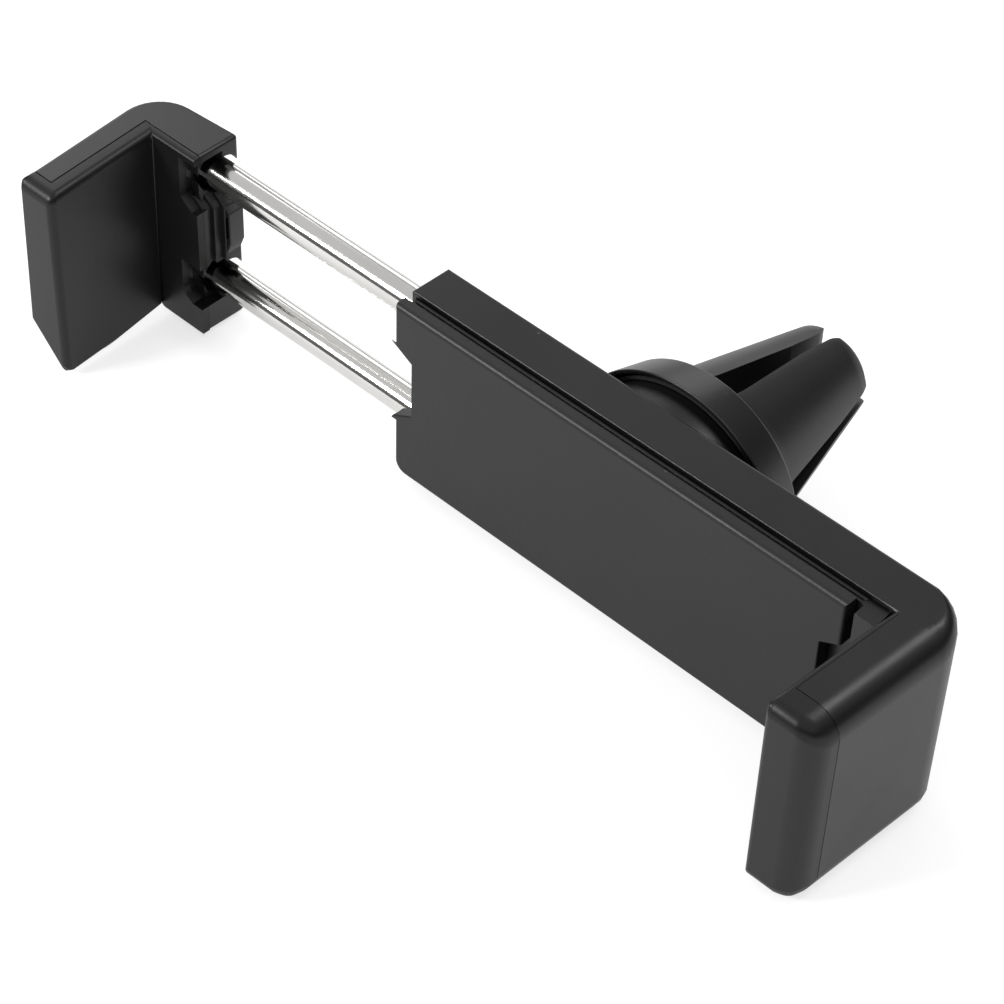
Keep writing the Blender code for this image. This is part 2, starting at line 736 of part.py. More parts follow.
# Pockets round the rods, and the room of the insert between them
upper_top = ROD_LEVELS["upper"] + UPPER_POCKET_RISE
upper_floor = ROD_LEVELS["upper"] - UPPER_POCKET_DROP
lower_top = ROD_LEVELS["lower"] + LOWER_POCKET_RISE
lower_floor = ROD_LEVELS["lower"] - LOWER_POCKET_DROP
past_end_x = MOVING_END_X + PAST
upper_pocket = prism(
    "upper_pocket_cut",
    [
        (UPPER_POCKET_X, upper_top, 0.0),
        (UPPER_POCKET_X, upper_floor, 0.0),
        (UPPER_POCKET_X + 2 * POCKET_SLOPE, upper_floor - POCKET_SLOPE, 0.0),
        (past_end_x, upper_floor - POCKET_SLOPE, 0.0),
        (past_end_x, upper_top, 0.0),
    ],
    MOVING_FRONT_Y - PAST,
    ROD_Y,
    "XZ",
    round_low=False,
    round_high=False,
)
lower_pocket = prism(
    "lower_pocket_cut",
    fillet(
        [
            (LOWER_POCKET_X, lower_top, 0.0, 0.0),
            (LOWER_POCKET_X, lower_floor, LOWER_POCKET_CORNER, 0.0),
            (past_end_x, lower_floor, 0.0, 0.0),
            (past_end_x, lower_top, 0.0, 0.0),
        ]
    ),
    MOVING_FRONT_Y - PAST,
    ROD_Y,
    "XZ",
    round_low=False,
    round_high=False,
)
for pocket in (upper_pocket, lower_pocket):
    boolean(moving, pocket)
boolean(
    moving,
    box(
        "nose_room_cut",
        (MOVING_FRONT_END_X - SEAM, MOVING_FRONT_Y - PAST, lower_top - SEAM),
        (past_end_x, ROD_Y, upper_floor - POCKET_SLOPE + SEAM),
    ),
)
boolean(
    moving,
    box(
        "insert_pocket_cut",
        (INSERT_START_X - SEAM, INSERT_FRONT_Y - SEAM, ROD_LEVEL - INSERT_HALF - SEAM),
        (past_end_x, INSERT_BACK_Y + SEAM, ROD_LEVEL + INSERT_HALF + SEAM),
    ),
)
for level_name, level in ROD_LEVELS.items():
    rod_bore = revolve(
        level_name + "_rod_bore_cut",
        [
            (0.0, ROD_START_X - SEAM),
            (ROD_RADIUS + RUNNING_FIT, ROD_START_X - SEAM),
            (ROD_RADIUS + RUNNING_FIT, MOVING_END_X - SOCKET_DEPTH),
            (SOCKET_RADIUS, MOVING_END_X - SOCKET_DEPTH),
            (SOCKET_RADIUS, past_end_x),
            (0.0, past_end_x),
        ],
        (0.0, ROD_Y, level),
        "X",
        SHAFT_STEPS,
    )
    boolean(moving, rod_bore)
    pin_hole = revolve(
        level_name + "_pin_hole_cut",
        [
            (0.0, ROD_Y - ROD_RADIUS - 0.6),
            (PIN_RADIUS + RUNNING_FIT, ROD_Y - ROD_RADIUS - 0.6),
            (PIN_RADIUS + RUNNING_FIT, MOVING_BACK_Y + PAST),
            (0.0, MOVING_BACK_Y + PAST),
        ],
        (PIN_X, 0.0, level),
        steps=SMALL_STEPS,
    )
    boolean(moving, pin_hole)
finish_piece(moving, BLACK_PLASTIC)

moving_liner = moving_blank("moving_jaw_liner")
boolean(moving_liner, moving_liner_region("moving_liner_keep", 0.0), "INTERSECT")
for pocket in (upper_pocket, lower_pocket):
    boolean(moving_liner, pocket)
finish_piece(moving_liner, SOFT_BLACK)

# Insert of the moving jaw: a block between the rods with a stepped nose and a tongue
rib_x = [NOSE_END_X + RIB_RUN * step for step in range(3)]
rib_y = [NOSE_Y + RIB_RISE * step for step in range(4)]
insert_plan = [
    (INSERT_START_X, INSERT_BACK_Y, 0.0),
    (INSERT_START_X, INSERT_FRONT_Y, 0.0),
    (MOVING_FRONT_END_X + SEAM, INSERT_FRONT_Y, 0.0),
    (MOVING_FRONT_END_X + SEAM, NOSE_Y, 0.0),
]
for step, x in enumerate(rib_x):
    insert_plan += [(x, rib_y[step], 0.0), (x, rib_y[step + 1], 0.0)]
insert_plan += [(TONGUE_END_X, rib_y[3], 0.0), (TONGUE_END_X, INSERT_BACK_Y, 0.0)]
insert = prism(
    "moving_jaw_insert",
    insert_plan,
    ROD_LEVEL - INSERT_HALF,
    ROD_LEVEL + INSERT_HALF,
    round_low=False,
    round_high=False,
)
for side_name, side in (("top", 1), ("bottom", -1)):
    tongue_corner = prism(
        f"tongue_{side_name}_cut",
        [
            (TONGUE_ROOT_X, ROD_LEVEL + side * (INSERT_HALF + PAST), 0.0),
            (TONGUE_ROOT_X, ROD_LEVEL + side * INSERT_HALF, 0.0),
            (TONGUE_END_X, ROD_LEVEL + side * TONGUE_END_HALF, 0.0),
            (TONGUE_END_X + PAST, ROD_LEVEL + side * TONGUE_END_HALF, 0.0),
            (TONGUE_END_X + PAST, ROD_LEVEL + side * (INSERT_HALF + PAST), 0.0),
        ],
        NOSE_Y - PAST,
        INSERT_BACK_Y + PAST,
        "XZ",
        round_low=False,
        round_high=False,
    )
    boolean(insert, tongue_corner)
finish_piece(insert, BLACK_PLASTIC)

# Rods, their stops, bushes, drag rings and pins
for level_name, level in ROD_LEVELS.items():
    pivot = (0.0, ROD_Y, level)
    rod = revolve(
        level_name + "_rod",
        chamfered_rod(ROD_RADIUS, ROD_START_X, ROD_END_X, ROD_CHAMFER),
        pivot,
        "X",
        SHAFT_STEPS,
    )
    cross_hole = revolve(
        level_name + "_cross_hole_cut",
        [
            (0.0, ROD_Y - ROD_RADIUS - 0.6),
            (PIN_RADIUS + RUNNING_FIT, ROD_Y - ROD_RADIUS - 0.6),
            (PIN_RADIUS + RUNNING_FIT, MOVING_BACK_Y),
            (0.0, MOVING_BACK_Y),
        ],
        (PIN_X, 0.0, level),
        steps=SMALL_STEPS,
    )
    boolean(rod, cross_hole)
    finish_piece(rod, CHROME)
    pin = revolve(
        level_name + "_rod_pin",
        chamfered_rod(PIN_RADIUS, ROD_Y - ROD_RADIUS - 0.4, MOVING_BACK_Y - 0.15, 0.1),
        (PIN_X, 0.0, level),
        steps=SMALL_STEPS,
    )
    finish_piece(pin, STEEL)
    inner = ROD_RADIUS + RUNNING_FIT
    sleeve = revolve(
        level_name + "_guide_bush",
        ring_profile(inner, BUSH_RADIUS, BUSH_X[0], BUSH_X[1], 0.12),
        pivot,
        "X",
        SHAFT_STEPS,
    )
    finish_piece(sleeve, WHITE_PLASTIC)
    drag = revolve(
        level_name + "_drag_ring",
        ring_profile(inner, BUSH_RADIUS, DRAG_RING_X[0], DRAG_RING_X[1], 0.15),
        pivot,
        "X",
        SHAFT_STEPS,
    )
    finish_piece(drag, RUBBER)
    stop = revolve(
        level_name + "_rod_stop",
        ring_profile(inner, BUSH_RADIUS - 0.1, STOP_X[0], STOP_X[1], 0.2),
        pivot,
        "X",
        SHAFT_STEPS,
    )
    finish_piece(stop, STEEL)

# Friction ring between the dome and the collar
seat = revolve(
    "seat_liner",
    arc(DOME_RADIUS + SEAT_GAP, SEAT_RISE[0], SEAT_RISE[1], 3)
    + arc(DOME_RADIUS + SEAT_GAP + SEAT_THICKNESS, SEAT_RISE[0], SEAT_RISE[1], 3)[::-1],
    SWIVEL,
)
finish_piece(seat, WHITE_PLASTIC)

# Retainer dish inside the dome, its screw and its spring washer
floor_rise = COLLAR_REAR_Y - COLLAR_FLOOR - BACK_Y
retainer = revolve(
    "swivel_retainer",
    [
        (SWIVEL_SCREW_RADIUS + 0.1, RETAINER_RISE[0] + 0.3),
        (RETAINER_HUB_RADIUS, RETAINER_RISE[0] + 0.3),
        (RETAINER_RADIUS - 1.0, RETAINER_RISE[0]),
    ]
    + arc(RETAINER_RADIUS, RETAINER_RISE[0], RETAINER_RISE[1], 3)
    + [
        (RETAINER_HUB_RADIUS, RETAINER_RISE[1]),
        (RETAINER_HUB_RADIUS, floor_rise - SEAT_GAP),
        (SWIVEL_SCREW_RADIUS + 0.1, floor_rise - SEAT_GAP),
    ],
    SWIVEL,
)
finish_piece(retainer, BLACK_PLASTIC)
washer_rise = RETAINER_RISE[0] + 0.3 - RUNNING_FIT
washer = revolve(
    "spring_washer",
    ring_profile(
        SWIVEL_SCREW_RADIUS + RUNNING_FIT,
        SWIVEL_HEAD_RADIUS,
        washer_rise - WASHER_THICKNESS,
        washer_rise,
        0.08,
    ),
    SWIVEL,
    steps=SHAFT_STEPS,
)
finish_piece(washer, STEEL)
head_rise = washer_rise - WASHER_THICKNESS - RUNNING_FIT
swivel_screw = revolve(
    "swivel_screw",
    [
        (0.0, head_rise - SWIVEL_HEAD_HEIGHT),
        (SWIVEL_HEAD_RADIUS - 0.5, head_rise - SWIVEL_HEAD_HEIGHT),
        (SWIVEL_HEAD_RADIUS, head_rise - SWIVEL_HEAD_HEIGHT + 0.5),
        (SWIVEL_HEAD_RADIUS, head_rise),
        (SWIVEL_SCREW_RADIUS, head_rise),
        (SWIVEL_SCREW_RADIUS, SWIVEL_SCREW_END_Y - BACK_Y - 0.3),
        (SWIVEL_SCREW_RADIUS - 0.3, SWIVEL_SCREW_END_Y - BACK_Y),
        (0.0, SWIVEL_SCREW_END_Y - BACK_Y),
    ],
    SWIVEL,
    steps=SHAFT_STEPS,
)
finish_piece(swivel_screw, STEEL)

# Collar: a cup on the dome
collar_rise = (COLLAR_FRONT_Y - BACK_Y, COLLAR_REAR_Y - BACK_Y)
collar = revolve(
    "clip_collar",
    arc(COLLAR_BORE, collar_rise[0], floor_rise, 5)
    + [
        (COLLAR_HOLE, floor_rise),
        (COLLAR_HOLE, collar_rise[1]),
        (COLLAR_REAR_RADIUS - 0.3, collar_rise[1]),
        (COLLAR_REAR_RADIUS, collar_rise[1] - 0.3),
        (COLLAR_FRONT_RADIUS, collar_rise[0] + 0.35),
        (COLLAR_FRONT_RADIUS - 0.1, collar_rise[0]),
    ],
    SWIVEL,
)
finish_piece(collar, BLACK_PLASTIC)

# Prong clip
tip_round = [
    (CLIP_END_RADIUS - 0.35, CLIP_TIP_Y - 1.2 - BACK_Y),
    (CLIP_END_RADIUS - 1.1, CLIP_TIP_Y - 0.35 - BACK_Y),
    (CLIP_END_RADIUS - 2.0, CLIP_TIP_Y - BACK_Y),
]
clip = revolve(
    "prong_clip",
    [
        (0.0, floor_rise + SEAT_GAP),
        (CLIP_STEM_RADIUS, floor_rise + SEAT_GAP),
        (CLIP_STEM_RADIUS, CLIP_BASE_Y - BACK_Y),
        (CLIP_BASE_RADIUS, CLIP_BASE_Y - BACK_Y),
        (CLIP_WAIST_RADIUS, CLIP_WAIST_Y - BACK_Y),
        (CLIP_END_RADIUS, CLIP_END_Y - BACK_Y),
    ]
    + tip_round
    + [(0.0, CLIP_TIP_Y - BACK_Y)],
    SWIVEL,
)
slot_plan = [
    (-SLOT_HALF, SLOT_FLOOR_Y, 0.0),
    (SLOT_HALF, SLOT_FLOOR_Y, 0.0),
    (SLOT_NECK_HALF, SLOT_NECK_Y, 0.0),
    (SLOT_TIP_HALF, CLIP_TIP_Y + PAST, 0.0),
    (-SLOT_TIP_HALF, CLIP_TIP_Y + PAST, 0.0),
    (-SLOT_NECK_HALF, SLOT_NECK_Y, 0.0),
]
for index, turn in enumerate((0.0, math.pi / 2)):
    slot = prism(
        f"slot_cut_{index}",
        slot_plan,
        -CLIP_BASE_RADIUS - PAST,
        CLIP_BASE_RADIUS + PAST,
        round_low=False,
        round_high=False,
    )
    slot.location = Vector((SWIVEL_X, 0.0, SWIVEL_LEVEL)) * MM
    slot.rotation_euler = (0.0, turn, 0.0)
    boolean(clip, slot)
clip_bore = revolve(
    "clip_bore_cut",
    [
        (0.0, floor_rise - PAST),
        (SWIVEL_SCREW_RADIUS + RUNNING_FIT, floor_rise - PAST),
        (SWIVEL_SCREW_RADIUS + RUNNING_FIT, SLOT_FLOOR_Y - BACK_Y - 0.2),
        (CLIP_BORE, SLOT_FLOOR_Y - BACK_Y - 0.2),
        (CLIP_BORE, CLIP_TIP_Y + PAST - BACK_Y),
        (0.0, CLIP_TIP_Y + PAST - BACK_Y),
    ],
    SWIVEL,
    steps=SMALL_STEPS,
)
boolean(clip, clip_bore)
finish_piece(clip, BLACK_PLASTIC)
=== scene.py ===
"""Looks of the air vent phone holder: refined pieces, finishes, floor, lights and camera."""

import logging
import math
from collections.abc import Callable, Sequence
from dataclasses import dataclass
from enum import Enum
from typing import Any

import bmesh
import bpy
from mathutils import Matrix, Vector


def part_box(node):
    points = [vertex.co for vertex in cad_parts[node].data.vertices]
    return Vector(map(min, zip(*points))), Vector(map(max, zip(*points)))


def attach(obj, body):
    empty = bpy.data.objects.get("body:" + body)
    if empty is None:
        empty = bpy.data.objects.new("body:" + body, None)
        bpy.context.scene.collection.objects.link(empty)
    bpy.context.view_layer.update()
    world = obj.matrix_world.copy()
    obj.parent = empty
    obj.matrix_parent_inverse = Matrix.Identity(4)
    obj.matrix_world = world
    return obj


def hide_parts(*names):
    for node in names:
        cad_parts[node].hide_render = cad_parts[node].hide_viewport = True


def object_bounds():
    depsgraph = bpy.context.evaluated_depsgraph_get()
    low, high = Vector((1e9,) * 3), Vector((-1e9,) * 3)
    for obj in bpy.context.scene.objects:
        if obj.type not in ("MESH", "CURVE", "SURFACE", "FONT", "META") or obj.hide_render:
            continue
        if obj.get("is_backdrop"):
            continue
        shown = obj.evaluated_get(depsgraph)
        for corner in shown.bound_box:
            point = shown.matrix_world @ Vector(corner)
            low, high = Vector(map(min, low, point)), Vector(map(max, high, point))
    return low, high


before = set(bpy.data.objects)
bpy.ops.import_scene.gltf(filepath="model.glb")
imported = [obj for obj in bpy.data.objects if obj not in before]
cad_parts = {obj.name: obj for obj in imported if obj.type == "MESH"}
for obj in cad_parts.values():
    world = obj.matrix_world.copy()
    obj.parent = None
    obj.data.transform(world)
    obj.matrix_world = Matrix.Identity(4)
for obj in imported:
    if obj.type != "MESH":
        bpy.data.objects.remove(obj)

log = logging.getLogger("air_vent_phone_holder")

Pair = tuple[float, float]
Triple = tuple[float, float, float]

MM = 0.001
UP = Vector((0.0, 0.0, 1.0))

# How near in millimetres counts as on a face, and the least share of a direction along an axis
NEAR = 0.1
CLOSE = 0.05
ALONG = 0.9

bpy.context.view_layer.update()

# Places are measured in millimetres from the plate's left front edge and the body's underside
PLATE_CORNER = Vector(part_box("front_plate")[0])
ORIGIN = Vector((PLATE_CORNER.x, PLATE_CORNER.y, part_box("housing_shell")[0][2]))


def at(x: float, y: float, z: float) -> Vector:
    """Gives the frame's place, in metres, of a point in the holder's millimetres."""
    return ORIGIN + Vector((x, y, z)) * MM


def move(x: float = 0.0, y: float = 0.0, z: float = 0.0) -> Vector:
    """Gives a move in metres from millimetres."""
    return Vector((x * MM, y * MM, z * MM))


def local(place: Vector) -> Vector:
    """Gives the holder's millimetres of a place in the frame."""
    return (place - ORIGIN) / MM


class Axis(Enum):
    """The axis that a turned piece is round about."""

    X = (1.0, 0.0, 0.0)
    Y = (0.0, 1.0, 0.0)
    Z = (0.0, 0.0, 1.0)


class Body(Enum):
    """The rigid bodies that pieces ride on."""

    HOUSING = "housing"
    MOVING_JAW = "moving_jaw"
    CLIP_SOCKET = "clip_socket"
    VENT_CLIP = "vent_clip"


# Bench: the modelling steps that every piece is made with


def deselect_all() -> None:
    """Leaves edit mode and deselects every object."""
    if bpy.context.mode != "OBJECT":
        bpy.ops.object.mode_set(mode="OBJECT")
    bpy.ops.object.select_all(action="DESELECT")


def take_up(piece: bpy.types.Object) -> None:
    """Makes one object the only selected one and the active one.

    Args:
        piece: The object to work on.
    """
    deselect_all()
    piece.select_set(True)
    bpy.context.view_layer.objects.active = piece


def open_mesh(piece: bpy.types.Object, what: str = "FACE") -> None:
    """Enters edit mode on an object with nothing selected.

    Args:
        piece: The object to edit.
        what: The kind of element to select, VERT, EDGE or FACE.
    """
    take_up(piece)
    bpy.ops.object.mode_set(mode="EDIT")
    bpy.ops.mesh.select_mode(type=what)
    bpy.ops.mesh.select_all(action="DESELECT")


def close_mesh() -> None:
    """Leaves edit mode."""
    bpy.ops.object.mode_set(mode="OBJECT")


def pick_faces(piece: bpy.types.Object, wanted: Callable[[Vector, Vector], bool]) -> None:
    """Selects the faces that a test accepts, in edit mode.

    Args:
        piece: The object in edit mode.
        wanted: Takes a face's centre and normal and says whether to select it.
    """
    mesh = bmesh.from_edit_mesh(piece.data)
    for face in mesh.faces:
        face.select_set(wanted(face.calc_center_median(), face.normal))
    bmesh.update_edit_mesh(piece.data)


def pick_edges(piece: bpy.types.Object, wanted: Callable[[Vector, Vector], bool]) -> None:
    """Selects the edges that a test accepts, in edit mode.

    Args:
        piece: The object in edit mode.
        wanted: Takes an edge's two ends and says whether to select it.
    """
    mesh = bmesh.from_edit_mesh(piece.data)
    for element in (*mesh.faces, *mesh.edges, *mesh.verts):
        element.select = False
    chosen = [edge for edge in mesh.edges if wanted(edge.verts[0].co, edge.verts[1].co)]
    for edge in chosen:
        edge.select_set(True)
    bmesh.update_edit_mesh(piece.data)


def shift_corners(
    piece: bpy.types.Object, wanted: Callable[[Vector], bool], distance: Vector
) -> None:
    """Moves the corners that a test accepts, in edit mode.

    Args:
        piece: The object in edit mode.
        wanted: Takes a corner's place in the holder's millimetres and says whether it moves.
        distance: How far the corners move, in metres.
    """
    mesh = bmesh.from_edit_mesh(piece.data)
    for corner in mesh.verts:
        corner.select_set(wanted(local(corner.co)))
    mesh.select_flush(True)
    bmesh.update_edit_mesh(piece.data)
    bpy.ops.transform.translate(value=distance)


def add_block(name: str, low: Sequence[float], high: Sequence[float]) -> bpy.types.Object:
    """Adds a cube primitive at its size and place.

    Args:
        name: The object's name.
        low: The lowest corner in metres.
        high: The highest corner in metres.

    Returns:
        The block, with its place in its mesh.
    """
    deselect_all()
    low_corner, high_corner = Vector(low), Vector(high)
    bpy.ops.mesh.primitive_cube_add(size=1.0, location=(low_corner + high_corner) / 2)
    block = bpy.context.active_object
    block.name = name
    block.scale = high_corner - low_corner
    settle(block)
    return block


def add_turned_block(
    name: str, start: Vector, axis: Axis, length: float, radius: float, sides: int
) -> bpy.types.Object:
    """Adds a cylinder primitive that runs along an axis from its start.

    Args:
        name: The object's name.
        start: The centre of its first end.
        axis: The direction that it runs in.
        length: Its length in metres.
        radius: Its radius in metres.
        sides: The number of sides.

    Returns:
        The cylinder, with its place in its mesh.
    """
    deselect_all()
    direction = Vector(axis.value)
    turn = UP.rotation_difference(direction).to_euler()
    bpy.ops.mesh.primitive_cylinder_add(
        vertices=sides,
        radius=radius,
        depth=length,
        location=start + direction * (length / 2),
        rotation=turn,
    )
    rod = bpy.context.active_object
    rod.name = name
    settle(rod)
    return rod


def settle(piece: bpy.types.Object) -> None:
    """Puts an object's place, turn and scale into its mesh.

    Args:
        piece: The object to settle.
    """
    take_up(piece)
    bpy.ops.object.transform_apply(location=True, rotation=True, scale=True)


def carve(piece: bpy.types.Object, tool: bpy.types.Object, operation: str = "DIFFERENCE") -> None:
    """Applies a Boolean with another object and removes that object.

    Args:
        piece: The object that is changed.
        tool: The object that cuts or joins it.
        operation: DIFFERENCE, UNION or INTERSECT.
    """
    take_up(piece)
    change = piece.modifiers.new("carve", "BOOLEAN")
    change.operation = operation
    change.solver = "EXACT"
    change.object = tool
    bpy.ops.object.modifier_apply(modifier=change.name)
    bpy.data.objects.remove(tool, do_unlink=True)


def soften(piece: bpy.types.Object, width: float, steps: int = 2, angle: float = 30.0) -> None:
    """Rounds every sharp edge a little, so that it catches the light.

    Args:
        piece: The object to soften.
        width: The rounding's width in metres.
        steps: The number of segments across the rounding.
        angle: The least angle in degrees that counts as an edge.
    """
    take_up(piece)
    rounding = piece.modifiers.new("soften", "BEVEL")
    rounding.limit_method = "ANGLE"
    rounding.angle_limit = math.radians(angle)
    rounding.width = width
    rounding.segments = steps
    rounding.use_clamp_overlap = True
    rounding.harden_normals = False
    bpy.ops.object.modifier_apply(modifier=rounding.name)


def shade(piece: bpy.types.Object, angle: float = 32.0) -> None:
    """Shades an object smooth up to an angle, with flat faces kept flat beside their roundings.

    Args:
        piece: The object to shade.
        angle: The angle in degrees above which an edge stays sharp.
    """
    take_up(piece)
    bpy.ops.object.shade_smooth_by_angle(angle=math.radians(angle))
    weights = piece.modifiers.new("weights", "WEIGHTED_NORMAL")
    weights.keep_sharp = True
    bpy.ops.object.modifier_apply(modifier=weights.name)


def close_seams(piece: bpy.types.Object, threshold: float = 0.002 * MM) -> None:
    """Merges doubles and turns every face outwards.

    Args:
        piece: The object to close.
        threshold: The merging distance in metres.
    """
    open_mesh(piece, "VERT")
    bpy.ops.mesh.select_all(action="SELECT")
    bpy.ops.mesh.remove_doubles(threshold=threshold)
    bpy.ops.mesh.normals_make_consistent(inside=False)
    close_mesh()


def raise_outline(name: str, outline: Sequence[Vector], reach: Vector) -> bpy.types.Object:
    """Traces a closed outline point by point by extrusion, fills it and extrudes it into a block.

    Args:
        name: The object's name.
        outline: The outline's corners, in the frame.
        reach: How far the filled outline is extruded.

    Returns:
        The closed block.
    """
    deselect_all()
    bpy.ops.mesh.primitive_plane_add(size=MM, location=outline[0])
    piece = bpy.context.active_object
    piece.name = name
    settle(piece)
    open_mesh(piece, "VERT")
    bpy.ops.mesh.select_all(action="SELECT")
    bpy.ops.mesh.merge(type="CENTER")
    for last, point in zip(outline, [*outline[1:], outline[0]]):
        bpy.ops.mesh.extrude_region_move(TRANSFORM_OT_translate={"value": point - last})
    bpy.ops.mesh.select_all(action="SELECT")
    bpy.ops.mesh.remove_doubles(threshold=0.001 * MM)
    bpy.ops.mesh.edge_face_add()
    bpy.ops.mesh.extrude_region_move(TRANSFORM_OT_translate={"value": reach})
    bpy.ops.mesh.select_all(action="SELECT")
    bpy.ops.mesh.normals_make_consistent(inside=False)
    close_mesh()
    return piece


def raise_plan(name: str, plan: Sequence[Pair], height: float) -> bpy.types.Object:
    """Raises a plan of (X, Y) points from the underside to a height.

    Args:
        name: The block's name.
        plan: The plan's corners in the holder's millimetres.
        height: The block's height in millimetres.

    Returns:
        The block.
    """
    return raise_outline(name, [at(x, y, 0.0) for x, y in plan], move(z=height))


def extrude_side(
    name: str, side: Sequence[Pair], low_y: float, high_y: float
) -> bpy.types.Object:
    """Extrudes a side outline of (X, Z) points from one Y to another.

    Args:
        name: The block's name.
        side: The outline's corners in the holder's millimetres.
        low_y: The block's first Y.
        high_y: The block's last Y.

    Returns:
        The block.
    """
    return raise_outline(name, [at(x, low_y, z) for x, z in side], move(y=high_y - low_y))


def round_upright(piece: bpy.types.Object, x: float, y: float, radius: float, steps: int) -> None:
    """Rounds the upright edge of a block that stands at one point of its plan.

    Args:
        piece: The block.
        x: The edge's X in the holder's millimetres.
        y: The edge's Y in the holder's millimetres.
        radius: The rounding's radius in millimetres.
        steps: The number of segments.
    """
    open_mesh(piece, "EDGE")

    def stands_there(first: Vector, second: Vector) -> bool:
        """Says whether an edge stands at the point."""
        ends = (local(first), local(second))
        return all(abs(end.x - x) < 0.02 and abs(end.y - y) < 0.02 for end in ends)

    pick_edges(piece, stands_there)
    bpy.ops.mesh.bevel(offset=radius * MM, segments=steps, affect="EDGES")
    close_mesh()


def round_edges(
    piece: bpy.types.Object, width_of: Callable[[Vector, Vector], float], steps: int = 5
) -> None:
    """Rounds each edge by its own width: sets bevel weights in edit mode and applies one Bevel.

    Args:
        piece: The object to round.
        width_of: Takes an edge's middle in the holder's millimetres and its direction, with no
            signs, and gives its rounding in millimetres, or 0 to leave it.
        steps: The number of segments across a rounding.
    """

    def width_between(first: Vector, second: Vector) -> float:
        """Gives the rounding of an edge from its ends."""
        run = (second - first).normalized()
        middle = local((first + second) / 2)
        return round(width_of(middle, Vector((abs(run.x), abs(run.y), abs(run.z)))), 3)

    open_mesh(piece, "EDGE")
    mesh = bmesh.from_edit_mesh(piece.data)
    ends = [(edge.verts[0].co, edge.verts[1].co) for edge in mesh.edges]
    widths = sorted({width_between(first, second) for first, second in ends} - {0.0})
    for width in widths:
        pick_edges(piece, lambda first, second: abs(width_between(first, second) - width) < 1e-4)
        bpy.ops.transform.edge_bevelweight(value=width / widths[-1])
    close_mesh()
    rounding = piece.modifiers.new("rounding", "BEVEL")
    rounding.limit_method = "WEIGHT"
    rounding.width = widths[-1] * MM
    rounding.segments = steps
    rounding.use_clamp_overlap = False
    bpy.ops.object.modifier_apply(modifier=rounding.name)


def slice_off(piece: bpy.types.Object, place: Vector, outward: Vector) -> None:
    """Cuts off what lies outside a plane and fills the cut.

    Args:
        piece: The object to cut.
        place: A point on the plane, in the frame.
        outward: The plane's normal, towards what is cut off.
    """
    open_mesh(piece, "VERT")
    bpy.ops.mesh.select_all(action="SELECT")
    bpy.ops.mesh.bisect(plane_co=place, plane_no=outward, use_fill=True, clear_outer=True)
    close_mesh()


def turn_copy(
    piece: bpy.types.Object, name: str, centre: Vector, quarter: int
) -> bpy.types.Object:
    """Copies a piece with its own mesh, turned by quarter turns about the swivel's axis.

    Args:
        piece: The piece to copy.
        name: The copy's name.
        centre: A point on the axis.
        quarter: The number of quarter turns.

    Returns:
        The copy.
    """
    twin = copy_piece(piece, name, Vector())
    open_mesh(twin, "VERT")
    bpy.ops.mesh.select_all(action="SELECT")
    bpy.ops.transform.rotate(value=quarter * math.pi / 2, orient_axis="Y", center_override=centre)
    close_mesh()
    return twin


def join(pieces: Sequence[bpy.types.Object]) -> bpy.types.Object:
    """Joins pieces of one moulding into the first of them."""
    take_up(pieces[0])
    for piece in pieces:
        piece.select_set(True)
    bpy.ops.object.join()
    return pieces[0]


def turn_profile(
    name: str, profile: Sequence[Pair], centre: Vector, axis: Axis, steps: int
) -> bpy.types.Object:
    """Traces a profile point by point by extrusion and spins it round an axis.

    Args:
        name: The object's name.
        profile: Points of (radius, distance along the axis from the centre) in millimetres.
        centre: A point on the axis.
        axis: The axis, X or Y.
        steps: The number of steps in the full turn.

    Returns:
        The closed, turned piece.
    """
    along = Vector(axis.value)
    points = [centre + UP * (radius * MM) + along * (rise * MM) for radius, rise in profile]
    deselect_all()
    bpy.ops.mesh.primitive_plane_add(size=MM, location=points[0])
    piece = bpy.context.active_object
    piece.name = name
    settle(piece)
    open_mesh(piece, "VERT")
    bpy.ops.mesh.select_all(action="SELECT")
    bpy.ops.mesh.merge(type="CENTER")
    for last, point in zip(points, points[1:]):
        bpy.ops.mesh.extrude_region_move(TRANSFORM_OT_translate={"value": point - last})
    if profile[0][0] > 0 or profile[-1][0] > 0:
        bpy.ops.mesh.extrude_region_move(TRANSFORM_OT_translate={"value": points[0] - points[-1]})
    bpy.ops.mesh.select_all(action="SELECT")
    bpy.ops.mesh.spin(steps=steps, angle=2 * math.pi, center=centre, axis=along)
    close_mesh()
    close_seams(piece)
    return piece


def copy_piece(piece: bpy.types.Object, name: str, offset: Vector) -> bpy.types.Object:
    """Copies a finished piece with its own mesh.

    Args:
        piece: The piece to copy.
        name: The copy's name.
        offset: How far the copy is from the piece, in metres.

    Returns:
        The copy, with its place in its mesh.
    """
    take_up(piece)
    bpy.ops.object.duplicate(linked=False)
    twin = bpy.context.active_object
    twin.name = name
    twin.location = offset
    settle(twin)
    return twin


def refined_copy(node: str, name: str, edge: float, steps: int = 2) -> bpy.types.Object:
    """Makes a refined piece from a node's solid, merged, with its edges softened.

    Args:
        node: The node whose solid is copied.
        name: The new piece's name.
        edge: The width of the edges' rounding in metres.
        steps: The number of segments across the rounding.

    Returns:
        The refined piece.
    """
    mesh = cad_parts[node].data.copy()
    mesh.materials.clear()
    piece = bpy.data.objects.new(name, mesh)
    bpy.context.scene.collection.objects.link(piece)
    open_mesh(piece, "VERT")
    bpy.ops.mesh.select_all(action="SELECT")
    bpy.ops.mesh.remove_doubles(threshold=0.004 * MM)
    bpy.ops.mesh.dissolve_limited(angle_limit=math.radians(0.8))
    close_mesh()
    soften(piece, edge, steps)
    shade(piece)
    return piece


# Finishes


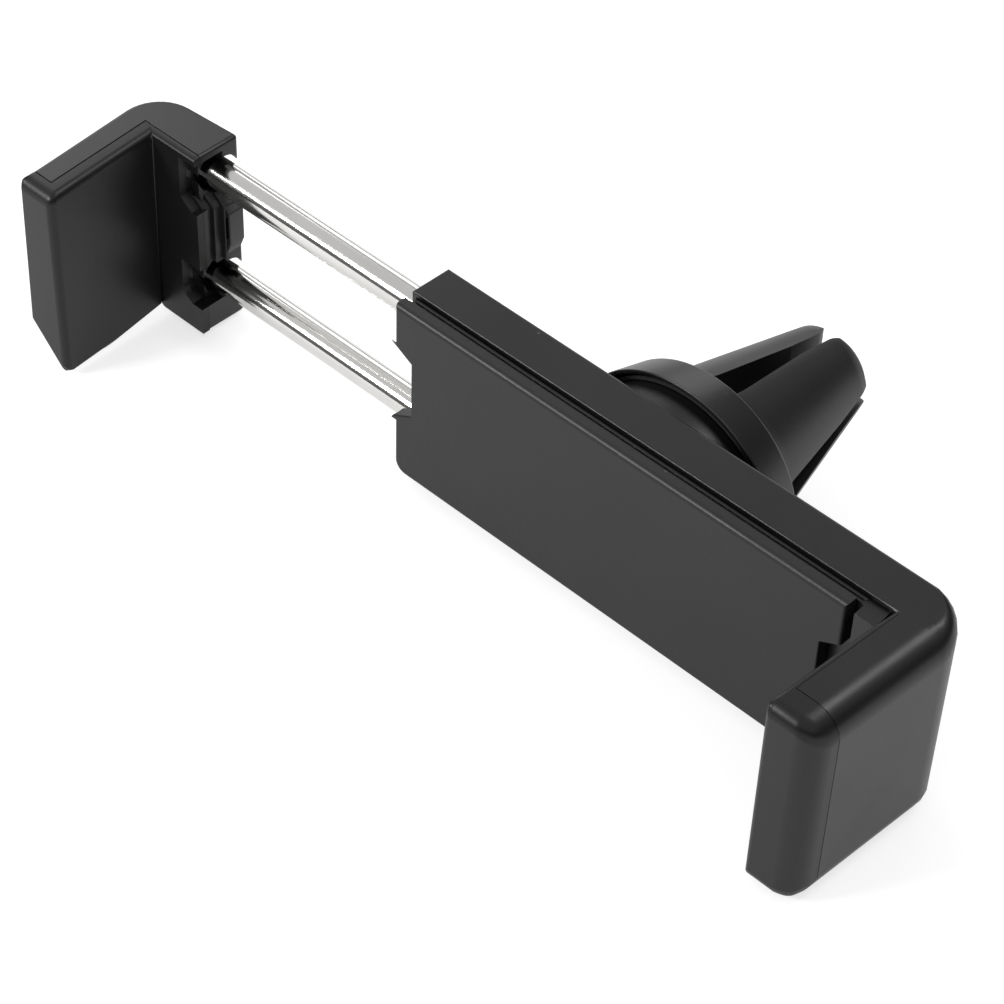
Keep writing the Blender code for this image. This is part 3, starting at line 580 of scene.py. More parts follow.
@dataclass(frozen=True)
class SharedEffects:
    """Node groups that several finishes use."""

    grain: bpy.types.NodeTree
    drift: bpy.types.NodeTree
    dust: bpy.types.NodeTree


def new_group(name: str, inputs: dict[str, float], outputs: Sequence[str]) -> bpy.types.NodeTree:
    """Starts a shader node group with float inputs and outputs.

    Args:
        name: The group's name.
        inputs: The input names with their default values.
        outputs: The output names.

    Returns:
        The group, with its input and output nodes.
    """
    group = bpy.data.node_groups.new(name, "ShaderNodeTree")
    for label, value in inputs.items():
        socket = group.interface.new_socket(label, in_out="INPUT", socket_type="NodeSocketFloat")
        socket.default_value = value
    for label in outputs:
        group.interface.new_socket(label, in_out="OUTPUT", socket_type="NodeSocketFloat")
    group.nodes.new("NodeGroupInput").name = "in"
    group.nodes.new("NodeGroupOutput").name = "out"
    return group


def feed(tree: bpy.types.NodeTree, socket: bpy.types.NodeSocket, value: Any) -> None:
    """Gives an input its value.

    Args:
        tree: The node tree.
        socket: The input.
        value: An output to link it to, or a plain value.
    """
    if isinstance(value, bpy.types.NodeSocket):
        tree.links.new(value, socket)
    else:
        socket.default_value = value


def add_node(
    tree: bpy.types.NodeTree, kind: str, inputs: dict[str, Any] | None = None, **settings: Any
) -> bpy.types.Node:
    """Adds a node, sets its properties and feeds its inputs.

    Args:
        tree: The node tree.
        kind: The node's type.
        inputs: Input names with outputs or plain values.
        **settings: Property names with their values.

    Returns:
        The node.
    """
    node = tree.nodes.new(kind)
    for key, value in settings.items():
        setattr(node, key, value)
    for label, value in (inputs or {}).items():
        feed(tree, node.inputs[label], value)
    return node


def math_node(
    tree: bpy.types.NodeTree, operation: str, first: Any, second: Any, clamp: bool = False
) -> bpy.types.NodeSocket:
    """Adds a Math node whose inputs are outputs of other nodes or numbers.

    Args:
        tree: The node tree.
        operation: The Math operation.
        first: An output or a number.
        second: An output or a number.
        clamp: Whether the result is kept between 0 and 1.

    Returns:
        The node's output.
    """
    node = add_node(tree, "ShaderNodeMath", operation=operation, use_clamp=clamp)
    feed(tree, node.inputs[0], first)
    feed(tree, node.inputs[1], second)
    return node.outputs[0]


def map_range(
    tree: bpy.types.NodeTree,
    value: bpy.types.NodeSocket,
    source: Pair,
    target: Pair,
    interpolation: str = "LINEAR",
) -> bpy.types.NodeSocket:
    """Adds a clamped Map Range node.

    Args:
        tree: The node tree.
        value: The output to map.
        source: The range that it comes from.
        target: The range that it goes to.
        interpolation: LINEAR or SMOOTHSTEP.

    Returns:
        The node's output.
    """
    ends = zip(("From Min", "From Max", "To Min", "To Max"), (*source, *target))
    node = add_node(
        tree,
        "ShaderNodeMapRange",
        {"Value": value, **dict(ends)},
        clamp=True,
        interpolation_type=interpolation,
    )
    return node.outputs["Result"]


def mix_tones(
    tree: bpy.types.NodeTree, factor: bpy.types.NodeSocket, first: Any, second: Any
) -> bpy.types.NodeSocket:
    """Adds a Mix node between two colours.

    Args:
        tree: The node tree.
        factor: The output that says how much of the second colour shows.
        first: An output or a colour with alpha.
        second: An output or a colour with alpha.

    Returns:
        The node's output.
    """
    inputs = {"Factor": factor, "A": first, "B": second}
    return add_node(tree, "ShaderNodeMix", inputs, data_type="RGBA").outputs["Result"]


def object_place(tree: bpy.types.NodeTree) -> bpy.types.NodeSocket:
    """Adds the object's own coordinates."""
    return add_node(tree, "ShaderNodeTexCoord").outputs["Object"]


def grain_group() -> bpy.types.NodeTree:
    """Builds the fine pebbled texture that a spark-eroded mould leaves.

    Returns:
        The group, with Scale and Relief as inputs and Height as output.
    """
    group = new_group("moulded_grain", {"Scale": 2600.0, "Relief": 1.0}, ["Height"])
    place, entry = object_place(group), group.nodes["in"].outputs
    pebbles = add_node(
        group,
        "ShaderNodeTexVoronoi",
        {"Vector": place, "Scale": entry["Scale"], "Smoothness": 0.6},
        feature="SMOOTH_F1",
    )
    finer = math_node(group, "MULTIPLY", entry["Scale"], 0.6)
    flecks = add_node(
        group,
        "ShaderNodeTexNoise",
        {"Vector": place, "Scale": finer, "Detail": 3.0, "Roughness": 0.55},
    )
    both = math_node(group, "ADD", pebbles.outputs["Distance"], flecks.outputs["Fac"])
    height = math_node(group, "MULTIPLY", both, entry["Relief"])
    feed(group, group.nodes["out"].inputs["Height"], height)
    return group


def drift_group() -> bpy.types.NodeTree:
    """Builds the slow drift in tone and gloss over a moulding, from flow and handling.

    Returns:
        The group, with Scale as input and Drift, from 0 to 1, as output.
    """
    group = new_group("moulding_drift", {"Scale": 60.0}, ["Drift"])
    inputs = {
        "Vector": object_place(group),
        "Scale": group.nodes["in"].outputs["Scale"],
        "Detail": 5.0,
        "Roughness": 0.6,
        "Distortion": 0.4,
    }
    cloud = add_node(group, "ShaderNodeTexNoise", inputs)
    drift = map_range(group, cloud.outputs["Fac"], (0.3, 0.7), (0.0, 1.0))
    feed(group, group.nodes["out"].inputs["Drift"], drift)
    return group


def dust_group() -> bpy.types.NodeTree:
    """Builds the sparse specks of dust that settle on faces that look up.

    Returns:
        The group, with Amount as input and Mask as output.
    """
    group = new_group("settled_dust", {"Amount": 0.5}, ["Mask"])
    place = object_place(group)
    normal = add_node(group, "ShaderNodeNewGeometry").outputs["Normal"]
    split = add_node(group, "ShaderNodeSeparateXYZ", {"Vector": normal})
    specks = add_node(group, "ShaderNodeTexVoronoi", {"Vector": place, "Scale": 700.0})
    patches = add_node(group, "ShaderNodeTexNoise", {"Vector": place, "Scale": 240.0})
    small = map_range(group, specks.outputs["Distance"], (0.1, 0.04), (0.0, 1.0))
    sparse = map_range(group, patches.outputs["Fac"], (0.55, 0.7), (0.0, 1.0))
    upward = math_node(group, "MAXIMUM", split.outputs["Z"], 0.0)
    spots = math_node(group, "MULTIPLY", small, sparse)
    lying = math_node(group, "MULTIPLY", spots, upward)
    mask = math_node(group, "MULTIPLY", lying, group.nodes["in"].outputs["Amount"], clamp=True)
    feed(group, group.nodes["out"].inputs["Mask"], mask)
    return group


def build_effects() -> SharedEffects:
    """Builds the shared node groups once."""
    return SharedEffects(grain=grain_group(), drift=drift_group(), dust=dust_group())


def new_material(name: str) -> bpy.types.Material:
    """Starts a material with its Principled shader."""
    material = bpy.data.materials.new(name)
    material.use_nodes = True
    return material


def finish_shader(tree: bpy.types.NodeTree, inputs: dict[str, Any]) -> None:
    """Feeds the inputs of a material's Principled shader.

    Args:
        tree: The material's node tree.
        inputs: Input names with outputs or plain values.
    """
    for label, value in inputs.items():
        feed(tree, tree.nodes["Principled BSDF"].inputs[label], value)


@dataclass(frozen=True)
class Plastic:
    """A moulded plastic or elastomer: its tone, gloss and the texture of its mould."""

    name: str
    tone: Triple
    worn_tone: Triple
    roughness: Pair
    grain_scale: float
    grain_relief: float
    drift_scale: float = 55.0
    dust: float = 0.35
    dust_tone: Triple = (0.35, 0.34, 0.32)
    grain_depth: float = 0.02 * MM
    specular: float = 0.5
    sheen: float = 0.0

    def build(self, effects: SharedEffects) -> bpy.types.Material:
        """Builds the material from the shared effects.

        Args:
            effects: The shared node groups.

        Returns:
            The material.
        """
        material = new_material(self.name)
        tree = material.node_tree
        kind = "ShaderNodeGroup"
        drift_node = add_node(tree, kind, node_tree=effects.drift)
        dust_node = add_node(tree, kind, node_tree=effects.dust)
        grain = add_node(tree, kind, node_tree=effects.grain)
        feed(tree, drift_node.inputs["Scale"], self.drift_scale)
        feed(tree, dust_node.inputs["Amount"], self.dust)
        feed(tree, grain.inputs["Scale"], self.grain_scale)
        drift, dust = drift_node.outputs["Drift"], dust_node.outputs["Mask"]
        tone = mix_tones(tree, drift, (*self.tone, 1.0), (*self.worn_tone, 1.0))
        gloss = map_range(tree, drift, (0.0, 1.0), self.roughness)
        relief = {
            "Strength": self.grain_relief,
            "Distance": self.grain_depth,
            "Height": grain.outputs["Height"],
        }
        finish_shader(
            tree,
            {
                "Specular IOR Level": self.specular,
                "Sheen Weight": self.sheen,
                "Base Color": mix_tones(tree, dust, tone, (*self.dust_tone, 1.0)),
                "Roughness": math_node(tree, "ADD", gloss, dust, clamp=True),
                "Normal": add_node(tree, "ShaderNodeBump", relief).outputs["Normal"],
            },
        )
        return material


@dataclass(frozen=True)
class Metal:
    """A bare or plated metal with fine lines from how it was drawn or turned."""

    name: str
    tone: Triple
    roughness: Pair
    line_axis: Axis
    line_relief: float
    drift_scale: float = 120.0
    dull_share: float = 0.88
    line_depth: float = 0.004 * MM
    along_scale: float = 40.0
    across_scale: float = 5000.0

    def build(self, effects: SharedEffects) -> bpy.types.Material:
        """Builds the material from the shared effects.

        Args:
            effects: The shared node groups.

        Returns:
            The material.
        """
        material = new_material(self.name)
        tree = material.node_tree
        scale = tuple(
            self.along_scale if part else self.across_scale for part in self.line_axis.value
        )
        stretch = add_node(
            tree, "ShaderNodeMapping", {"Vector": object_place(tree), "Scale": scale}
        )
        inputs = {"Vector": stretch.outputs["Vector"], "Scale": 1.0, "Detail": 4.0}
        lines = add_node(tree, "ShaderNodeTexNoise", inputs).outputs["Fac"]
        drift_node = add_node(tree, "ShaderNodeGroup", node_tree=effects.drift)
        feed(tree, drift_node.inputs["Scale"], self.drift_scale)
        drift = drift_node.outputs["Drift"]
        dull = tuple(self.dull_share * part for part in self.tone)
        both = math_node(tree, "MULTIPLY", drift, lines)
        relief = {"Strength": self.line_relief, "Distance": self.line_depth, "Height": lines}
        finish_shader(
            tree,
            {
                "Metallic": 1.0,
                "Base Color": mix_tones(tree, drift, (*self.tone, 1.0), (*dull, 1.0)),
                "Roughness": map_range(tree, both, (0.0, 1.0), self.roughness),
                "Normal": add_node(tree, "ShaderNodeBump", relief).outputs["Normal"],
            },
        )
        return material


class Finishes:
    """Every finish of the holder, each built once."""

    SHELL = Plastic(
        name="satin_black_shell",
        tone=(0.005, 0.005, 0.0052),
        worn_tone=(0.0075, 0.0075, 0.0077),
        roughness=(0.3, 0.37),
        grain_scale=3600.0,
        grain_relief=0.16,
    )
    PLATE = Plastic(
        name="matt_black_plate",
        tone=(0.0065, 0.0065, 0.0067),
        worn_tone=(0.009, 0.009, 0.0092),
        roughness=(0.4, 0.48),
        grain_scale=3000.0,
        grain_relief=0.3,
    )
    LINER = Plastic(
        name="soft_black_liner",
        tone=(0.0045, 0.0045, 0.0047),
        worn_tone=(0.007, 0.007, 0.0072),
        roughness=(0.34, 0.42),
        grain_scale=4200.0,
        grain_relief=0.2,
        dust=0.5,
        sheen=0.02,
        specular=0.4,
    )
    CLIP = Plastic(
        name="flexible_black_clip",
        tone=(0.0065, 0.0065, 0.0067),
        worn_tone=(0.009, 0.009, 0.0092),
        roughness=(0.36, 0.44),
        grain_scale=3400.0,
        grain_relief=0.2,
    )
    BUSH = Plastic(
        name="natural_bush",
        tone=(0.6, 0.6, 0.57),
        worn_tone=(0.66, 0.66, 0.63),
        roughness=(0.4, 0.5),
        grain_scale=3000.0,
        grain_relief=0.15,
        dust=0.1,
    )
    RING = Plastic(
        name="drag_ring_rubber",
        tone=(0.02, 0.02, 0.02),
        worn_tone=(0.03, 0.03, 0.03),
        roughness=(0.65, 0.8),
        grain_scale=3000.0,
        grain_relief=0.4,
    )
    ROD = Metal(
        name="polished_rod",
        tone=(0.86, 0.85, 0.83),
        roughness=(0.1, 0.2),
        line_axis=Axis.X,
        line_relief=0.25,
    )
    FASTENER = Metal(
        name="plated_fastener",
        tone=(0.58, 0.57, 0.54),
        roughness=(0.24, 0.38),
        line_axis=Axis.Y,
        line_relief=0.5,
    )

    def __init__(self, effects: SharedEffects) -> None:
        """Builds every finish.

        Args:
            effects: The shared node groups.
        """
        self.shell = self.SHELL.build(effects)
        self.plate = self.PLATE.build(effects)
        self.liner = self.LINER.build(effects)
        self.clip = self.CLIP.build(effects)
        self.bush = self.BUSH.build(effects)
        self.ring = self.RING.build(effects)
        self.rod = self.ROD.build(effects)
        self.fastener = self.FASTENER.build(effects)


def dress(piece: bpy.types.Object, material: bpy.types.Material) -> None:
    """Gives an object one finish all over.

    Args:
        piece: The object.
        material: Its finish.
    """
    if piece.data.materials:
        for index in range(len(piece.data.materials)):
            piece.data.materials[index] = material
    else:
        piece.data.materials.append(material)


def hand_over(
    piece: bpy.types.Object, node: str, body: Body, material: bpy.types.Material
) -> None:
    """Finishes a new piece: its finish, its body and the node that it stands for.

    Args:
        piece: The new piece.
        node: The node that it replaces.
        body: The body that it rides on.
        material: Its finish.
    """
    dress(piece, material)
    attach(piece, body.value)
    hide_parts(node)
    log.info("%s: %d faces, rides on %s", piece.name, len(piece.data.polygons), body.value)


# Sub-assemblies


@dataclass(frozen=True)
class Notch:
    """The trapezoid notch in an end of the plate and the bezel."""

    level: float = 12.0
    depth: float = 2.0
    half: float = 4.2
    inner_half: float = 3.1
    past: float = 2.0
    reach_y: Pair = (-1.0, 4.0)

    def block(self, name: str, end_x: float, inward: int) -> bpy.types.Object:
        """Makes the block that cuts the notch.

        Args:
            name: The block's name.
            end_x: The end's X in the holder's millimetres.
            inward: 1 where the notch goes towards higher X, otherwise -1.

        Returns:
            The block.
        """
        outside, inside = end_x - inward * self.past, end_x + inward * self.depth
        side = (
            (outside, self.level - self.half),
            (end_x, self.level - self.half),
            (inside, self.level - self.inner_half),
            (inside, self.level + self.inner_half),
            (end_x, self.level + self.half),
            (outside, self.level + self.half),
        )
        return extrude_side(name, side, *self.reach_y)


@dataclass(frozen=True)
class RodLayout:
    """Where the rods and their cross pins sit in the moving jaw, in the holder's millimetres."""

    y: float = 4.15
    levels: Pair = (17.42, 5.18)
    start_x: float = -32.0
    pin_x: float = -31.1


@dataclass
class BodyShell:
    """The body: its shell with the fixed arm and the dome, its bezel and the fixed arm's liner."""

    edge: float = 0.16 * MM
    bezel_edge: float = 0.08 * MM
    bezel_inset: float = 0.57
    bezel_y: Pair = (1.42, 2.48)
    bar_x: Pair = (50.15, 52.12)
    bar_y: Pair = (0.1, 2.0)
    window_x: Pair = (3.2, 46.6)
    window_y: Pair = (0.0, 4.0)
    window_inset: float = 1.95
    bead_y: Pair = (1.72, 1.98)
    bead_rise: float = 0.16
    bead_sink: float = 0.2
    bead_start: float = 0.3
    bead_stop: float = 0.1
    height: float = 21.0
    inner_x: float = 52.35
    thickness: float = 5.07
    taper: float = 0.065
    tip_y: float = -12.25
    root_y: float = 2.15
    face_y: float = -0.35
    relief: float = 0.12
    cap_length: float = 2.8
    cap_spare: float = 3.0
    pad: float = 0.53
    pad_lap: float = 0.4
    top_round: float = 2.6
    low_round: float = 1.95
    outer_round: float = 2.1
    inner_round: float = 0.6
    tip_round: float = 1.3
    face_round: float = 0.4
    notch_x: float = 0.12

    def inner(self, y: float) -> float:
        """Gives the fixed arm's inner face's X at a Y."""
        return self.inner_x + self.taper * (y - self.root_y)

    def outer(self, y: float) -> float:
        """Gives the fixed arm's outer face's X at a Y."""
        return self.inner(y) + self.thickness

    def build(self, finishes: Finishes) -> None:
        """Builds and dresses the body's mouldings.

        Args:
            finishes: The holder's finishes.
        """
        shell = refined_copy("housing_shell", "body_shell", self.edge)
        hand_over(shell, "housing_shell", Body.HOUSING, finishes.shell)
        bezel = self.bezel()
        hand_over(bezel, "front_bezel", Body.HOUSING, finishes.shell)
        liner = self.liner()
        hand_over(liner, "fixed_jaw_liner", Body.HOUSING, finishes.liner)

    def bezel(self) -> bpy.types.Object:
        """Models the bezel: a frame with a bead along its top and a bar beside the fixed arm.

        Returns:
            The bezel.
        """
        low, high = self.bezel_inset, self.height - self.bezel_inset
        bar_start, bar_end = self.bar_x
        front_y, back_y = self.bezel_y
        bezel = add_block("inset_bezel", at(low, front_y, low), at(bar_end, back_y, high))
        bar_low, bar_high = at(bar_start, self.bar_y[0], low), at(bar_end, self.bar_y[1], high)
        carve(bezel, add_block("bezel_bar", bar_low, bar_high), "UNION")
        bead_low = at(low + self.bead_start, self.bead_y[0], high - self.bead_sink)
        bead_high = at(bar_start - self.bead_stop, self.bead_y[1], high + self.bead_rise)
        carve(bezel, add_block("bezel_bead", bead_low, bead_high), "UNION")
        window_low = at(self.window_x[0], self.window_y[0], self.window_inset)
        window_top = self.height - self.window_inset
        window_high = at(self.window_x[1], self.window_y[1], window_top)
        carve(bezel, add_block("bezel_window", window_low, window_high))
        carve(bezel, Notch().block("bezel_notch", self.notch_x, 1))
        soften(bezel, self.bezel_edge, 3)
        shade(bezel)
        return bezel

    def liner(self) -> bpy.types.Object:
        """Models the fixed arm's liner: the thin pad on its face and the rounded cap on its tip.

        Returns:
            The liner.
        """
        tip, seam, root = self.tip_y, self.tip_y + self.cap_length, self.root_y
        far = seam + self.cap_spare
        cap_plan = (
            (self.inner(tip), tip),
            (self.outer(tip), tip),
            (self.outer(far), far),
            (self.inner(far), far),
        )
        cap = raise_plan("fixed_arm_liner", cap_plan, self.height)

        def width_of(middle: Vector, run: Vector) -> float:
            """Gives the cap's rounding at an edge."""
            if run.z > ALONG:
                outside = middle.x > self.inner(tip) + 1.0
                near_tip = middle.y < tip + NEAR
                return (self.outer_round if outside else self.inner_round) if near_tip else 0.0
            if middle.y < tip + NEAR:
                return self.tip_round
            if run.y < ALONG:
                return 0.0
            if middle.x < self.inner(middle.y) + NEAR:
                return self.face_round
            return self.top_round if middle.z > self.height - NEAR else self.low_round

        round_edges(cap, width_of, 8)
        slice_off(cap, at(0.0, seam, 0.0), Vector(Axis.Y.value))
        start = seam - self.pad_lap
        pad_plan = (
            (self.inner(start), start),
            (self.inner(start) + self.pad, start),
            (self.inner(root) + self.pad, root),
            (self.inner(root) + self.relief, root),
            (self.inner(self.face_y), self.face_y),
        )
        pad = raise_plan("fixed_arm_pad", pad_plan, self.height)

        def pad_width_of(middle: Vector, run: Vector) -> float:
            """Gives the pad's rounding at an edge."""
            on_face = middle.x < self.inner(middle.y) + NEAR and run.y > ALONG
            return self.face_round if on_face else 0.0

        round_edges(pad, pad_width_of, 8)
        carve(cap, pad, "UNION")
        shade(cap)
        return cap


@dataclass
class FrontPlate:
    """The flat plate that the phone lies against."""

    length: float = 49.45
    thickness: float = 1.3
    bottom: float = 1.2
    top: float = 20.85
    corner: float = 1.3
    corner_steps: int = 6
    back_round: float = 0.06
    top_round: float = 0.55
    front_round: float = 0.4
    notch_round: float = 0.18
    notch_levels: Pair = (7.0, 17.0)
    notch_reach: float = 2.5
    peg_x: Pair = (12.2, 42.7)
    peg_level: float = 10.5
    peg_radius: float = 1.75
    peg_end_y: float = 3.5
    peg_sink: float = 0.1
    bore: float = 0.95

    def plate(self) -> bpy.types.Object:
        """Models the plate with its rounded front edges, end notches and screw pegs.

        Returns:
            The plate.
        """
        foot = []
        for step in range(self.corner_steps, -1, -1):
            turn = math.pi / 2 * step / self.corner_steps
            rise = self.corner * (1 - math.cos(turn))
            foot.append((self.corner * (1 - math.sin(turn)), self.bottom + rise))
        side = [*foot, (self.length, self.bottom), (self.length, self.top), (0.0, self.top)]
        plate = extrude_side("phone_plate", side, 0.0, self.thickness)
        carve(plate, Notch().block("left_notch", 0.0, 1))
        carve(plate, Notch().block("right_notch", self.length, -1))

        def width_of(middle: Vector, run: Vector) -> float:
            """Gives the plate's rounding at an edge."""
            if middle.y > CLOSE:
                return self.back_round
            if middle.z > self.top - CLOSE:
                return self.top_round
            at_end = middle.x < CLOSE or middle.x > self.length - CLOSE
            low, high = self.notch_levels
            inside = middle.x < self.notch_reach or middle.x > self.length - self.notch_reach
            in_notch = low < middle.z < high and inside and not at_end
            return self.notch_round if in_notch else self.front_round

        round_edges(plate, width_of, 6)
        shade(plate)
        pegs = []
        for x in self.peg_x:
            start = at(x, self.thickness - self.peg_sink, self.peg_level)
            length = (self.peg_end_y - self.thickness + self.peg_sink) * MM
            peg = add_turned_block("peg", start, Axis.Y, length, self.peg_radius * MM, 40)
            bore = add_turned_block("peg_bore", start, Axis.Y, length * 2, self.bore * MM, 32)
            carve(peg, bore)
            shade(peg)
            pegs.append(peg)
        return join([plate, *pegs])

    def build(self, finishes: Finishes) -> None:
        """Builds and dresses the plate.

        Args:
            finishes: The holder's finishes.
        """
        hand_over(self.plate(), "front_plate", Body.HOUSING, finishes.plate)


@dataclass
class MovingJaw:
    """The moving jaw: its shell, its insert between the rods and its soft liner."""

    height: float = 21.0
    tip_y: float = -11.95
    front_y: float = 0.75
    back_y: float = 6.2
    back_taper: float = 0.07
    end_x: float = -26.05
    inner_x: float = -31.65
    outer_x: float = -35.8
    taper: float = 0.07
    seam_x: float = -33.0
    seam_y: float = -10.25
    layer_y: float = 1.55
    front_end_x: float = -26.75
    gap: float = 0.025
    seam_lean: float = 0.4
    corner: float = 4.0
    corner_reach: float = 3.4
    slice_level: float = 4.1
    slice_reach: float = 2.7
    draft: float = 0.6
    slice_share: float = 0.8
    arm_side_x: float = -30.0
    mouth_x: float = -27.15
    mouth_y: float = 2.1
    rods: RodLayout = RodLayout()
    rod_bore: float = 1.56
    end_play: float = 0.05
    pin_bore: float = 0.5
    socket_bore: float = 2.1
    socket_depth: float = 2.4
    edge_round: float = 0.45
    end_round: float = 0.5
    back_round: float = 0.9
    seam_round: float = 0.05
    top_seam_round: float = 0.07
    tip_rounds: Pair = (1.25, 1.1)
    tip_seam_round: float = 0.5
    tip_upright_rounds: Pair = (0.75, 0.3)
    corner_round: float = 0.35
    pad_rounds: Pair = (0.75, 0.4)
    front_rounds: Pair = (0.6, 0.3)
    upper_window: tuple[Pair, ...] = (
        (-28.2, 20.25),
        (-28.2, 15.7),
        (-26.75, 14.6),
        (-20.0, 14.6),
        (-20.0, 20.25),
    )
    lower_window: tuple[Pair, ...] = (
        (-28.6, 8.0),
        (-28.6, 4.6),
        (-28.2, 3.75),
        (-27.4, 3.2),
        (-20.0, 3.2),
        (-20.0, 8.0),
    )
    room: tuple[Triple, ...] = ((-32.9, 2.0, 7.9), (-20.0, 5.36, 14.7))
    ribs: int = 4
    rib_run: float = 0.45
    rib_rise: float = 0.85
    rib_start: Pair = (0.1, 0.12)
    rib_back_x: float = -28.0
    rib_slant_run: float = 1.3
    rib_levels: Triple = (8.1, 14.5, 15.5)
    rib_recess: float = 0.02
    insert_back_y: float = 5.3
    insert_edge: float = 0.09
    tongue_y: Pair = (3.5, 5.25)
    tongue: tuple[Pair, ...] = (
        (-26.4, 8.2),
        (-25.6, 8.2),
        (-24.75, 10.3),
        (-24.75, 13.9),
        (-25.5, 14.5),
        (-26.4, 14.5),
    )
    tongue_hole_y: Pair = (3.0, 4.7)
    tongue_hole: tuple[Pair, ...] = (
        (-25.5, 10.6),
        (-25.0, 11.0),
        (-25.0, 13.5),
        (-25.4, 13.0),
    )

    def inner(self, y: float) -> float:
        """Gives the arm's inner face's X at a Y."""
        return self.inner_x - self.taper * y

    def outer(self, y: float) -> float:
        """Gives the arm's outer face's X at a Y."""
        return self.outer_x - self.taper * y

    def slice_underside(self, piece: bpy.types.Object) -> None:
        """Slices the arm's lower outer edge off at a slant.

        Args:
            piece: The piece to slice.
        """

        def is_foot(place: Vector) -> bool:
            """Says whether a corner is at the foot of the arm's outer face."""
            return place.z < NEAR and place.x < self.outer(place.y) + 0.5

        open_mesh(piece, "VERT")
        shift_corners(piece, is_foot, move(x=-self.draft))
        close_mesh()
        outward = Vector((-self.slice_level, 0.0, -self.slice_reach))
        start_x = self.outer(self.tip_y) - self.draft * self.slice_share
        slice_off(piece, at(start_x, 0.0, self.slice_level), outward)

    def shell(self) -> bpy.types.Object:
        """Models the L-shaped shell with its windows round the rods.

        Returns:
            The shell.
        """
        corner_y = self.back_y - self.back_taper * (self.end_x - self.outer(self.back_y))
        plan = (
            (self.seam_x + self.seam_lean - self.gap, self.seam_y + self.gap),
            (self.outer(self.seam_y), self.seam_y + self.gap),
            (self.outer(corner_y), corner_y),
            (self.end_x, self.back_y),
            (self.end_x, self.layer_y + self.gap),
            (self.seam_x - self.seam_lean, self.layer_y + self.gap),
        )
        shell = raise_plan("moving_arm_shell", plan, self.height)
        round_upright(shell, self.outer(corner_y), corner_y, self.corner, 10)
        self.slice_underside(shell)

        def width_of(middle: Vector, run: Vector) -> float:
            """Gives the shell's rounding at an edge."""
            behind = middle.y > corner_y - self.corner_reach
            at_end = middle.x > self.end_x - NEAR
            if run.z > ALONG:
                return self.end_round if middle.y > self.back_y - 0.2 and at_end else 0.0
            if middle.z > self.height - NEAR:
                outside = middle.x < self.outer(middle.y) + 0.6 or behind
                return self.edge_round if outside else self.top_seam_round
            if middle.z < NEAR:
                if at_end:
                    return self.edge_round
                return self.back_round if behind else self.seam_round
            return 0.0

        round_edges(shell, width_of)
        start_y = self.front_y - 2.0
        for name, window in (("upper", self.upper_window), ("lower", self.lower_window)):
            carve(shell, extrude_side(name + "_window", window, start_y, self.mouth_y))
            behind = [(max(x, self.mouth_x), z) for x, z in window]
            carve(shell, extrude_side(name + "_mouth", behind, start_y, self.rods.y))
        carve(shell, add_block("insert_room", at(*self.room[0]), at(*self.room[1])))
        for level in self.rods.levels:
            holes = (
                (self.end_x - self.socket_depth, self.rods.y, Axis.X, 6.0, self.socket_bore, 48),
                (self.rods.start_x - self.end_play, self.rods.y, Axis.X, 7.0, self.rod_bore, 48),
                (self.rods.pin_x, self.mouth_y, Axis.Y, 6.0, self.pin_bore, 32),
            )
            for x, y, axis, length, radius, sides in holes:
                sizes = (length * MM, radius * MM)
                carve(shell, add_turned_block("hole", at(x, y, level), axis, *sizes, sides))
        shade(shell)
        return shell

    def liner(self) -> bpy.types.Object:
        """Models the soft liner: the pad on the arm and the back part's front, and the tip's cap.

        Returns:
            The liner.
        """
        plan = (
            (self.inner(self.tip_y), self.tip_y),
            (self.outer(self.tip_y), self.tip_y),
            (self.outer(self.seam_y), self.seam_y),
            (self.seam_x + self.seam_lean, self.seam_y),
            (self.seam_x - self.seam_lean + self.gap, self.layer_y),
            (self.end_x, self.layer_y),
            (self.end_x, self.front_y),
            (self.inner(self.front_y), self.front_y),
        )
        liner = raise_plan("moving_arm_liner", plan, self.height)
        self.slice_underside(liner)

        def width_of(middle: Vector, run: Vector) -> float:
            """Gives the liner's rounding at an edge."""
            top, bottom = middle.z > self.height - NEAR, middle.z < NEAR
            at_tip = middle.y < self.tip_y + NEAR
            if run.z > ALONG:
                if at_tip:
                    on_pad_side = middle.x > self.outer(middle.y) + 1.0
                    return self.tip_upright_rounds[0 if on_pad_side else 1]
                in_corner = abs(middle.y - self.front_y) < NEAR and middle.x < self.arm_side_x
                return self.corner_round if in_corner else 0.0
            if at_tip:
                if not (top or bottom):
                    return self.tip_seam_round
                return self.tip_rounds[0 if top else 1]
            if middle.x > self.end_x - NEAR:
                return self.edge_round
            if middle.x > self.inner(middle.y) - NEAR and run.y > ALONG:
                return self.pad_rounds[0 if top else 1]
            if abs(middle.y - self.front_y) < CLOSE and run.x > ALONG:
                return self.front_rounds[0 if top else 1]
            if top and middle.x < self.outer(middle.y) + 0.3:
                return self.edge_round
            return self.seam_round if top or bottom else 0.0

        round_edges(liner, width_of, 6)
        start_y = self.front_y - 2.0
        for name, window in (("upper", self.upper_window), ("lower", self.lower_window)):
            carve(liner, extrude_side(name + "_liner_window", window, start_y, self.rods.y))
        shade(liner)
        return liner

